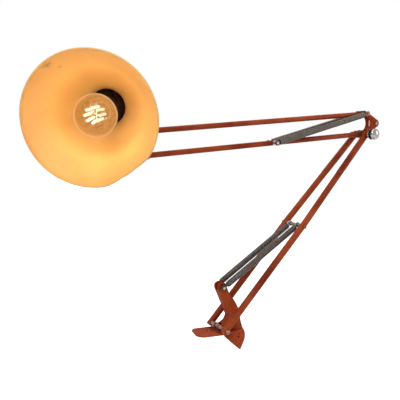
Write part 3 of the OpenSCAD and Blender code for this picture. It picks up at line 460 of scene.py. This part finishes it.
# A pale spot on the ring, broken up by noise, is a painted glint.
rubbed = spot(tree, place, in_shade @ GLINT_AT, 0.0030, 0.0060)
glint_breakup = steps(tree, noise(tree, place, 260, 3), 0.44, 0.56)
colour = mix_colour(tree, times(tree, rubbed, glint_breakup), colour, (0.58, 0.36, 0.26))
tree.links.new(colour, shader.inputs["Base Color"])
shader.inputs["Coat Weight"].default_value = 0.15
shader.inputs["Coat Roughness"].default_value = 0.08
bump(tree, shader, noise(tree, place, 200, 3), 0.1, 0.0003)

# %% [markdown]
# The inside of the shade is warm yellow and orange, and that colour is painted light
# of the bulb. The bulb's lamp alone doesn't give its spread of colours, so the colour
# also changes with the depth in the shade, with one lighter band, both painted light
# as well. Two dark smudges near the mouth are spots frayed by a fine noise.

# %% Enamel inside the shade, with painted warm light
WALL_AT_MOUTH, WALL_SLOPE = 0.089, 0.48
SMUDGES = ((144, 0.007, 0.001, 0.010), (148, 0.026, 0.0005, 0.004))
enamel_with_painted_light, tree, shader, place = start_material("enamel_with_painted_light", 0.45)
# The two warm base colours are painted light of the bulb.
cloud = steps(tree, noise(tree, place, 14, 4, 0.5), 0.35, 0.66)
colour = mix_colour(tree, cloud, (0.78, 0.405, 0.110), (0.86, 0.475, 0.140))
depth = along(tree, place, in_shade.translation, into_shade)
# Lighter and yellower deeper in the shade: painted light.
deeper_painted_light = steps(tree, depth, 0.01, 0.09, 0.0, 0.7)
colour = mix_colour(tree, deeper_painted_light, colour, (0.86, 0.59, 0.24))
# A lighter band part way into the shade is painted light as well.
painted_light_band = times(
    tree, steps(tree, depth, 0.030, 0.050), steps(tree, depth, 0.074, 0.056, 0.0, 0.55)
)
colour = mix_colour(tree, painted_light_band, colour, (0.93, 0.58, 0.19))
smudge = steps(tree, noise(tree, place, 30, 7, 0.7), 0.64, 0.78, 0.0, 0.4)
colour = mix_colour(tree, smudge, colour, (0.55, 0.27, 0.09))
wisps = steps(tree, noise(tree, place, 170, 5, 0.6), 0.35, 0.65)
for turn, smudge_depth, inner, outer in SMUDGES:
    radius = WALL_AT_MOUTH - smudge_depth * WALL_SLOPE
    round_place = (math.cos(math.radians(turn)), math.sin(math.radians(turn)))
    mark = in_shade @ Vector((radius * round_place[0], radius * round_place[1], smudge_depth))
    blot = times(tree, spot(tree, place, mark, inner, outer, 0.85), wisps)
    colour = mix_colour(tree, blot, colour, (0.24, 0.13, 0.07))
tree.links.new(colour, shader.inputs["Base Color"])
bump(tree, shader, noise(tree, place, 160, 3), 0.12, 0.0004)

# %% [markdown]
# The glass is a see-through shader with a mirror on its outer skin, stronger at a
# flat angle. Its back half glows amber and hides the socket: a painted glow, standing
# in for the warm light that the lit glass shows. That glow grows with depth in the
# shade. Shadow rays pass it, so that the bulb still lights the back of the shade. A
# painted highlight at flat angles stands for the bright rim of the globe.

# %% Clear glass with a painted amber glow
clear_glass = bpy.data.materials.new("clear_glass")
clear_glass.use_nodes = True
tree = clear_glass.node_tree
tree.nodes.remove(tree.nodes["Principled BSDF"])
place = tree.nodes.new("ShaderNodeTexCoord").outputs["Object"]


def mix_shaders(factor, first, second):
    """Mixes two shaders of the glass by a value."""
    node = tree.nodes.new("ShaderNodeMixShader")
    tree.links.new(factor, node.inputs[0])
    tree.links.new(first.outputs[0], node.inputs[1])
    tree.links.new(second.outputs[0], node.inputs[2])
    return node


def other_side(value):
    """One minus a value."""
    return steps(tree, value, 0, 1, 1, 0)


see_through = tree.nodes.new("ShaderNodeBsdfTransparent")
see_through.inputs["Color"].default_value = (0.985, 0.965, 0.94, 1)
mirror_skin = tree.nodes.new("ShaderNodeBsdfGlossy")
mirror_skin.inputs["Roughness"].default_value = 0.03
mirror_skin.inputs["Color"].default_value = (1.0, 0.93, 0.8, 1)
# A warm emission at flat angles is a painted highlight on the globe's rim.
painted_rim_highlight = tree.nodes.new("ShaderNodeEmission")
painted_rim_highlight.inputs["Color"].default_value = (0.92, 0.55, 0.28, 1)
# An emission in the back half of the globe is a painted glow.
painted_amber_glow = tree.nodes.new("ShaderNodeEmission")
mottle = steps(tree, noise(tree, place, 330, 6, 0.7), 0.36, 0.64)
painted_amber = mix_colour(tree, mottle, (0.46, 0.17, 0.035), (0.80, 0.38, 0.11))
tree.links.new(painted_amber, painted_amber_glow.inputs["Color"])
skin_side = tree.nodes.new("ShaderNodeNewGeometry")
facing = tree.nodes.new("ShaderNodeLayerWeight")
facing.inputs["Blend"].default_value = 0.16
outside = other_side(skin_side.outputs["Backfacing"])
lit_rays = other_side(tree.nodes.new("ShaderNodeLightPath").outputs["Is Shadow Ray"])
# The painted amber glow grows with depth in the shade.
depth = steps(
    tree, along(tree, place, in_shade.translation, into_shade), 0.038, 0.058, 0.0, 0.93
)
glass = mix_shaders(times(tree, facing.outputs["Fresnel"], outside), see_through, mirror_skin)
glass = mix_shaders(times(tree, depth, lit_rays), glass, painted_amber_glow)
edge_on = tree.nodes.new("ShaderNodeLayerWeight").outputs["Facing"]
flat_angle = steps(tree, edge_on, 0.64, 0.92, 0.0, 0.75)
glass = mix_shaders(times(tree, flat_angle, outside), glass, painted_rim_highlight)
tree.links.new(glass.outputs[0], tree.nodes["Material Output"].inputs["Surface"])
print("glass nodes", len(tree.nodes))

# %% [markdown]
# The filaments shine pale yellow. An emission just under full strength keeps their
# colour, where a stronger one would burn them out to white.

# %% Glowing filaments
lit_filament, tree, shader, place = start_material("lit_filament", 0.5)
shader.inputs["Base Color"].default_value = (0.16, 0.12, 0.05, 1)
shader.inputs["Emission Color"].default_value = (0.98, 0.96, 0.66, 1)
shader.inputs["Emission Strength"].default_value = 0.93

# %% [markdown]
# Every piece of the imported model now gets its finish. A table from finish to pieces
# shows at a glance which pieces share one. Some of these pieces are modelled anew
# further on, and their new form then brings its own finish.

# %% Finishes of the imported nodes
finish_of_node = {
    red_paint: [
        "lower_tube_near", "lower_tube_far", "lower_rod", "upper_rod", "socket_cover",
        "shade",
    ],
    bracket_paint: [
        "desk_bracket", "swivel_bracket", "elbow_bracket", "head_bracket", "shade_lug",
        "spindle_set_screw",
    ],
    turned_steel: [
        "swivel_spindle", "thrust_washer", "lower_anchor_pin",
        "lower_spring_eyes", "upper_spring_eyes", "elbow_axle", "elbow_washers",
        "tie_spacer", "rod_spring_pin", "head_pins",
        "head_knuckle", "head_swivel_nut", "tilt_bolt", "tilt_nut", "lug_rivets",
        "bulb_cap", "stem_wires",
    ],
    dark_steel: ["knob_washer", "lower_pin_clips", "rod_pin_clips"],
    spring_steel: [
        "lower_spring_near", "lower_spring_far", "upper_spring_near",
        "upper_spring_far",
    ],
    painted_bar: ["crossbar"],
    brown_steel: ["tie_bolt", "top_pin", "top_pin_clips"],
    copper_wash: ["base_axle", "base_axle_nut", "outer_spacers", "middle_spacer"],
    socket_brass: ["socket_shell", "socket_contact", "bulb_contact"],
    chrome_plate: ["elbow_knob"],
    dark_moulding: ["lamp_socket", "socket_ring", "bulb_insulator"],
    clear_glass: ["bulb_glass", "bulb_stem"],
    lit_filament: ["filaments"],
}
for material, names in finish_of_node.items():
    for name in names:
        node = frame["nodes"][name]
        node.data.materials.clear()
        node.data.materials.append(material)
print("finished nodes", sum(len(names) for names in finish_of_node.values()))

# %% [markdown]
# ## Modelling by hand, in code
# Each new piece starts as a primitive, is shaped in edit mode, and ends with its
# place in its mesh. Operators act on whatever is selected, so everything is
# deselected first. A round shell is the most common piece of a lamp, and it is made
# as on a spinning lathe: one ring is extruded again and again, and each new ring is
# scaled to the next radius of the profile.

# %% Turning a closed profile
def start_clean():
    """Leaves edit mode and deselects everything."""
    if bpy.context.object and bpy.context.object.mode != "OBJECT":
        bpy.ops.object.mode_set(mode="OBJECT")
    bpy.ops.object.select_all(action="DESELECT")


def select_only(piece):
    """Makes one piece the selected and active one."""
    start_clean()
    piece.select_set(True)
    bpy.context.view_layer.objects.active = piece


def turned_shell(name, profile, vertices):
    """Turns a closed profile of (height, radius) pairs in millimetres round Z.

    A radius of almost nothing makes a pole, which the merge closes.
    """
    start_clean()
    height, radius = profile[0]
    bpy.ops.mesh.primitive_circle_add(
        vertices=vertices, radius=radius * MM, location=(0, 0, height * MM)
    )
    piece = bpy.context.object
    piece.name = name
    bpy.ops.object.mode_set(mode="EDIT")
    bpy.ops.mesh.select_all(action="SELECT")
    for here, there in zip(profile, profile[1:] + profile[:1]):
        rise = (there[0] - here[0]) * MM
        bpy.ops.mesh.extrude_region_move(TRANSFORM_OT_translate={"value": (0, 0, rise)})
        grow = there[1] / here[1]
        bpy.ops.transform.resize(
            value=(grow, grow, 1), center_override=(0, 0, there[0] * MM)
        )
    bpy.ops.mesh.select_all(action="SELECT")
    bpy.ops.mesh.remove_doubles(threshold=0.01 * MM)
    bpy.ops.mesh.delete_loose(use_verts=True, use_edges=True, use_faces=False)
    bpy.ops.mesh.select_all(action="SELECT")
    bpy.ops.mesh.normals_make_consistent(inside=False)
    bpy.ops.object.mode_set(mode="OBJECT")
    bpy.ops.object.transform_apply(location=True, rotation=True, scale=True)
    return piece


# %% [markdown]
# ## The shade
# The real shade is spun from sheet: a straight cone, a round shoulder, a short neck,
# and a mouth rolled over a wire. The profile goes down the outside, round the roll and
# up the inside, so that the wall has the thickness of its sheet.

# %% Profile of the shade
MOUTH_R, SHOULDER_R, NECK_R, HOLE_R = 90.5, 54.0, 28.0, 20.7
CONE_DEPTH, NECK_DEPTH, SHEET, ROLL_R = 76.0, 110.0, 1.0, 1.4
slope = math.atan2(MOUTH_R - SHOULDER_R, CONE_DEPTH)
across_shoulder = Vector((NECK_DEPTH - CONE_DEPTH, NECK_R - SHOULDER_R))
inward = Vector((-math.sin(slope), -math.cos(slope)))
bend = across_shoulder.length_squared / (2 * across_shoulder.dot(inward))
bend_middle = Vector((CONE_DEPTH, SHOULDER_R)) + inward * bend
bend_from = math.pi / 2 - slope
bend_to = math.atan2(NECK_R - bend_middle.y, NECK_DEPTH - bend_middle.x)


def shoulder(radius):
    """Points of the round shoulder, from the cone to the neck."""
    angles = [bend_from + (bend_to - bend_from) * i / 9 for i in range(10)]
    return [
        (bend_middle.x + radius * math.cos(a), bend_middle.y + radius * math.sin(a))
        for a in angles
    ]


def cone(skin):
    """Points of the straight cone, from the roll to the shoulder."""
    depths = [1.4, 4, 9, 16, 25, 36, 48, 62]
    return [(d, MOUTH_R - d * math.tan(slope) - skin / math.cos(slope)) for d in depths]


roll = [
    (ROLL_R * math.sin(math.radians(a)), MOUTH_R - 0.4 + ROLL_R * math.cos(math.radians(a)))
    for a in range(94, -212, -17)
]
profile = [(NECK_DEPTH + 3, NECK_R)] + shoulder(bend)[::-1] + cone(0)[::-1] + roll
profile += cone(SHEET) + shoulder(bend - SHEET)
profile += [(NECK_DEPTH + 3 - SHEET, NECK_R - SHEET), (NECK_DEPTH + 3 - SHEET, HOLE_R)]
profile += [(NECK_DEPTH + 3, HOLE_R)]
shade = turned_shell("shade_shell", profile, 144)
print("shade rings", len(profile), "faces", len(shade.data.polygons))

# %% [markdown]
# The photographed shade has had a knock: its rim is pushed in on the lower right, as
# seen from the front. A few vertices of the roll are selected there and moved
# inwards with proportional editing, which carries the sheet around them along less
# and less, as the metal itself was carried. A long shallow crease beside it is made
# in the same way.

# %% Dent in the rim
DENT_TURN = math.radians(325)
DENT_DEEP, DENT_SPREAD, DENT_HALF = 4.4 * MM, 34 * MM, math.radians(5)
RIM_DEPTH = 2 * MM
CREASE_TURN, CREASE_HALF = math.radians(12), math.radians(2)
CREASE_DEEP, CREASE_SPREAD, CREASE_FROM, CREASE_TO = 0.9 * MM, 15 * MM, 8 * MM, 50 * MM
dent_way = Vector((math.cos(DENT_TURN), math.sin(DENT_TURN), 0))
select_only(shade)
bpy.ops.object.mode_set(mode="EDIT")
bpy.ops.mesh.select_all(action="DESELECT")
bpy.ops.object.mode_set(mode="OBJECT")
for vertex in shade.data.vertices:
    flat = Vector((vertex.co.x, vertex.co.y, 0))
    near_dent = flat.normalized().dot(dent_way) > math.cos(DENT_HALF)
    vertex.select = near_dent and vertex.co.z < RIM_DEPTH
bpy.ops.object.mode_set(mode="EDIT")
bpy.ops.transform.translate(
    value=dent_way * -DENT_DEEP,
    use_proportional_edit=True,
    proportional_edit_falloff="SMOOTH",
    proportional_size=DENT_SPREAD,
)
bpy.ops.mesh.select_all(action="DESELECT")
bpy.ops.object.mode_set(mode="OBJECT")
crease_way = Vector((math.cos(CREASE_TURN), math.sin(CREASE_TURN), 0))
for vertex in shade.data.vertices:
    flat = Vector((vertex.co.x, vertex.co.y, 0))
    on_crease = flat.normalized().dot(crease_way) > math.cos(CREASE_HALF)
    vertex.select = on_crease and CREASE_FROM < vertex.co.z < CREASE_TO
bpy.ops.object.mode_set(mode="EDIT")
bpy.ops.transform.translate(
    value=crease_way * -CREASE_DEEP,
    use_proportional_edit=True,
    proportional_edit_falloff="SMOOTH",
    proportional_size=CREASE_SPREAD,
)
bpy.ops.object.mode_set(mode="OBJECT")
dented = max(v.co.dot(dent_way) for v in shade.data.vertices if v.co.z < RIM_DEPTH)
print("rim at the dent", round(dented / MM, 1), "mm from the axis")

# %% [markdown]
# Every piece that belongs to the shade is made in the shade's frame. This helper moves
# it into its place on the lamp, in its mesh, and says which body carries it.

# %% The shade in its place
def put_in_place(piece, place, material, body, *nodes):
    """Puts a finished piece in its place, in its mesh, and says what it stands for."""
    piece.matrix_world = place
    select_only(piece)
    bpy.ops.object.transform_apply(location=True, rotation=True, scale=True)
    bpy.ops.object.shade_smooth_by_angle(angle=math.radians(35))
    if not piece.data.materials:
        piece.data.materials.append(material)
    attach(piece, body)
    if nodes:
        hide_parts(*nodes)


ENAMEL_FROM, ENAMEL_TO = 0.9 * MM, 112.6 * MM
shade.data.materials.append(red_paint)
shade.data.materials.append(enamel_with_painted_light)
for face in shade.data.polygons:
    outward = Vector((face.center.x, face.center.y, 0)).normalized()
    faces_in = face.normal.dot(outward) < 0 or face.center.z < ENAMEL_FROM
    face.material_index = 1 if faces_in and face.center.z < ENAMEL_TO else 0
put_in_place(shade, in_shade, red_paint, "shade_head", "shade")

# %% [markdown]
# The bulb is alight in the photograph. A small warm point lamp among its filaments
# fills the shade, and it rides with the head, so that every pose keeps its glow.

# %% Light of the bulb
BULB_DEPTH = 36 * MM
bulb_data = bpy.data.lights.new("bulb_light", "POINT")
bulb_data.energy = 0.27
bulb_data.color = (1.0, 0.80, 0.50)
bulb_data.shadow_soft_size = 14 * MM
bulb_light = bpy.data.objects.new("bulb_light", bulb_data)
bpy.context.collection.objects.link(bulb_light)
bulb_light.location = in_shade @ Vector((0, 0, BULB_DEPTH))
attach(bulb_light, "shade_head")

# %% [markdown]
# The bulb shows slim bright sticks round a glass stem. How many they are is a guess:
# eight are built, in a ring, and they lean a little, all the same way. One stick is a
# capsule, a cylinder whose end rims are bevelled round, and thin wires tie its ends to
# the stem. The sticks are then joined into one piece, and the wires into another.

# %% Filament sticks and their wires
STICKS, RING_R, LEAN = 8, 10.4 * MM, math.radians(8)
STICK_LOW, STICK_HIGH, STICK_R, TIPPED = 16 * MM, 56 * MM, 1.5 * MM, 3.2 * MM
STEM_LOW, STEM_HIGH, WIRE_R = 39 * MM, 55 * MM, 0.25 * MM


def rod_between(name, low, high, radius, sides, round_ends):
    """A rod from low to high, in the shade's frame, with rims bevelled round."""
    start_clean()
    bpy.ops.mesh.primitive_cylinder_add(
        vertices=sides, radius=radius, depth=(high - low).length, location=(0, 0, 0)
    )
    rod = bpy.context.object
    rod.name = name
    bpy.ops.object.mode_set(mode="EDIT")
    if round_ends:
        bpy.ops.mesh.select_all(action="DESELECT")
        bpy.ops.object.mode_set(mode="OBJECT")
        for line in rod.data.edges:
            ends = [rod.data.vertices[i].co.z for i in line.vertices]
            line.select = abs(ends[0] - ends[1]) < radius / 10
        bpy.ops.object.mode_set(mode="EDIT")
        bpy.ops.mesh.bevel(offset=radius * 0.9, segments=4)
    bpy.ops.object.mode_set(mode="OBJECT")
    turn = (high - low).to_track_quat("Z", "X").to_matrix().to_4x4()
    rod.data.transform(Matrix.Translation((low + high) / 2) @ turn)
    return rod


sticks, wires = [], []
for index in range(STICKS):
    turn = 2 * math.pi * index / STICKS
    low = Vector((RING_R * math.cos(turn) - TIPPED, RING_R * math.sin(turn), STICK_LOW))
    high = Vector((math.cos(turn + LEAN), math.sin(turn + LEAN), 0)) * RING_R * 0.9
    high.z = STICK_HIGH
    sticks.append(rod_between("stick", low, high, STICK_R, 16, True))
    aim = (high - low).normalized()
    stem_low, stem_high = Vector((0, 0, STEM_LOW)), Vector((0, 0, STEM_HIGH))
    wires.append(rod_between("wire", stem_low, low + aim * MM, WIRE_R, 6, False))
    wires.append(rod_between("wire", stem_high, high - aim * MM, WIRE_R, 6, False))
for parts, name, material, node in (
    (sticks, "filament_sticks", lit_filament, "filaments"),
    (wires, "filament_wires", dark_steel, "stem_wires"),
):
    start_clean()
    for part in parts:
        part.select_set(True)
    bpy.context.view_layer.objects.active = parts[0]
    bpy.ops.object.join()
    parts[0].name = name
    put_in_place(parts[0], in_shade, material, "shade_head", node)
    print(name, "faces", len(parts[0].data.polygons))

# %% [markdown]
# ## The springs
# Each of the four balance springs is one close wound wire, hooked round a pin at one
# end and screwed on a plug at the other. A screw modifier could wind the turns, but
# the hook would have to be joined on, and a wire has no joint. So the wire is drawn
# as a path, loop, shank and turns together, and a round section is swept along it.
# The solid model's springs are open stand-ins, and these replace them.

# %% Close wound springs
WIRE_D, SPRING_D, PITCH = 1.8 * MM, 11.2 * MM, 1.9 * MM
LOOP_R, SHANK, COIL_END, TURN_STEPS = 3.7 * MM, 6.6 * MM, 7.5 * MM, 14
SPRING_GAP = 23 * MM
LOOP_FROM, LOOP_TO, LOOP_STEP = 24, 301, 23
SHANK_POINTS = ((3.6, -2.6), (5.0, -1.5), (6.1, -0.4))


def spring_points(run):
    """The wire's path along X, from the loop round the pin at 0 to the plug."""
    points = []
    for angle in range(LOOP_FROM, LOOP_TO, LOOP_STEP):
        a = math.radians(angle)
        points.append((LOOP_R * math.cos(a), LOOP_R * math.sin(a), 0))
    for x, y in SHANK_POINTS:
        points.append((x * MM, y * MM, 0))
    turns = math.floor((run - SHANK - COIL_END) / PITCH)
    pitch = (run - SHANK - COIL_END) / turns
    mean_r = (SPRING_D - WIRE_D) / 2
    for step in range(turns * TURN_STEPS + 1):
        t = step / TURN_STEPS
        r = mean_r * min(1, 0.12 + 0.5 * min(t, 1) + 0.38 * max(0, t - 1))
        a = math.pi / 2 + 2 * math.pi * t
        points.append((SHANK + pitch * t, r * math.sin(a), r * math.cos(a)))
    return points


def wound_spring(name, start, pin, bar, side, node):
    """A spring between a pin and a bar, each (ahead, up) from a start."""
    near_pin = arm_point(pin[0], side, pin[1], start)
    near_bar = arm_point(bar[0], side, bar[1], start)
    run = (near_bar - near_pin).length
    along = (near_bar - near_pin).normalized()
    lift = along.cross(ACROSS)
    out = along.cross(lift)
    points = [near_pin + along * x + lift * y + out * z for x, y, z in spring_points(run)]
    start_clean()
    path = bpy.data.curves.new(name, "CURVE")
    path.dimensions = "3D"
    path.bevel_depth = WIRE_D / 2
    path.bevel_resolution = 2
    path.use_fill_caps = True
    wire = path.splines.new("POLY")
    wire.points.add(len(points) - 1)
    for point, place in zip(wire.points, points):
        point.co = (*place, 1)
    spring = bpy.data.objects.new(name, path)
    bpy.context.collection.objects.link(spring)
    select_only(spring)
    bpy.ops.object.convert(target="MESH")
    spring = bpy.context.object
    bpy.ops.object.shade_smooth_by_angle(angle=math.radians(60))
    spring.data.materials.clear()
    spring.data.materials.append(spring_steel)
    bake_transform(spring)
    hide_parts(node)
    print(name, "triangles", sum(len(face.vertices) - 2 for face in spring.data.polygons))


def polar(length, angle):
    """(ahead, up) of a place at a distance and an angle above level."""
    return (length * math.cos(math.radians(angle)), length * math.sin(math.radians(angle)))


anchor_pin, crossbar_place = (4 * MM, 73 * MM), polar(238 * MM, 46.5)
top_pin_place, rod_pin_place = (4.5 * MM, 39.5 * MM), polar(-212 * MM, 4.1)
for side, tag in ((-SPRING_GAP / 2, "near"), (SPRING_GAP / 2, "far")):
    wound_spring(
        "lower_coil_" + tag, base_axle, anchor_pin, crossbar_place, side,
        "lower_spring_" + tag,
    )
    wound_spring(
        "upper_coil_" + tag, elbow_axle, top_pin_place, rod_pin_place, side,
        "upper_spring_" + tag,
    )

# %% [markdown]
# ## The elbow knob
# The knob has a hub, a thin plated collar, a fluted grip and a plated dome. The red of
# the hub and the dark of the grip are in part painted reflection, of the red bracket
# and of dark surroundings in plated metal. It is turned like the shade, and then each
# face of the grip is inset on its own and sunk a little, which cuts the flutes.

# %% Knob with a fluted grip
POLE = 0.004
KNOB_LEN, HUB_TOP = 21 * MM, 5.3 * MM
GRIP_FROM, GRIP_TO, GRIP_INNER = 7.3 * MM, 14.1 * MM, 8 * MM
FLUTE_EDGE, FLUTE_DEEP = 0.12 * MM, 0.35 * MM
knob_mesh = frame["nodes"]["elbow_knob"].data
knob_end = max((v.co - elbow_axle).dot(-ACROSS) for v in knob_mesh.vertices)
knob_profile = [
    (0, 3.1), (0, 7.6), (0.5, 8.1), (5.2, 8.1), (5.5, 10.2), (6.0, 10.6), (6.9, 10.6),
    (7.2, 10.2), (14.2, 10.2), (14.4, 10.6), (15.0, 10.75), (16.0, 10.6), (17.4, 9.8),
    (18.7, 8.3), (19.8, 6.1), (20.6, 3.3), (21, POLE), (11.7, POLE), (11.7, 3.1),
]
knob = turned_shell("knob_turned", knob_profile, 72)
knob.data.materials.append(chrome_plate)
knob.data.materials.append(dark_moulding)
knob.data.materials.append(bracket_paint)
select_only(knob)
bpy.ops.object.mode_set(mode="EDIT")
bpy.ops.mesh.select_mode(type="FACE")
bpy.ops.mesh.select_all(action="DESELECT")
bpy.ops.object.mode_set(mode="OBJECT")
for face in knob.data.polygons:
    face.select = GRIP_FROM < face.center.z < GRIP_TO and face.center.xy.length > GRIP_INNER
    # Grip faces get the dark moulding and hub faces red paint: in part painted reflection.
    face.material_index = 1 if face.select else (2 if face.center.z < HUB_TOP else 0)
bpy.ops.object.mode_set(mode="EDIT")
bpy.ops.mesh.inset(thickness=FLUTE_EDGE, depth=-FLUTE_DEEP, use_individual=True)
bpy.ops.mesh.select_mode(type="VERT")
bpy.ops.object.mode_set(mode="OBJECT")
knob_turn = (-ACROSS).to_track_quat("Z", "X").to_matrix().to_4x4()
knob_place = Matrix.Translation(elbow_axle - ACROSS * (knob_end - KNOB_LEN)) @ knob_turn
put_in_place(knob, knob_place, chrome_plate, "knob", "elbow_knob")
print("knob faces", len(knob.data.polygons), "end", round(knob_end / MM, 1), "mm out")

# %% [markdown]
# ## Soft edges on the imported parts
# Folded sheet and castings never have knife edges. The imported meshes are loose
# triangles, so a weld comes first, and then a narrow bevel on the sharp edges only.
# Both stay modifiers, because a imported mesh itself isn't changed.

# %% Weld and bevel
edge_width = {
    "desk_bracket": 0.6, "swivel_bracket": 0.5, "shade_lug": 0.4, "head_knuckle": 0.5,
}
for name, width in edge_width.items():
    node = frame["nodes"][name]
    weld = node.modifiers.new("weld", "WELD")
    weld.merge_threshold = 0.002 * MM
    soften = node.modifiers.new("soft_edges", "BEVEL")
    soften.width = width * MM
    soften.segments = 2
    soften.limit_method = "ANGLE"
    soften.angle_limit = math.radians(40)
    flatten = node.modifiers.new("flat_faces", "WEIGHTED_NORMAL")
    flatten.keep_sharp = True
    flatten.weight = 100
print("softened", sorted(edge_width))
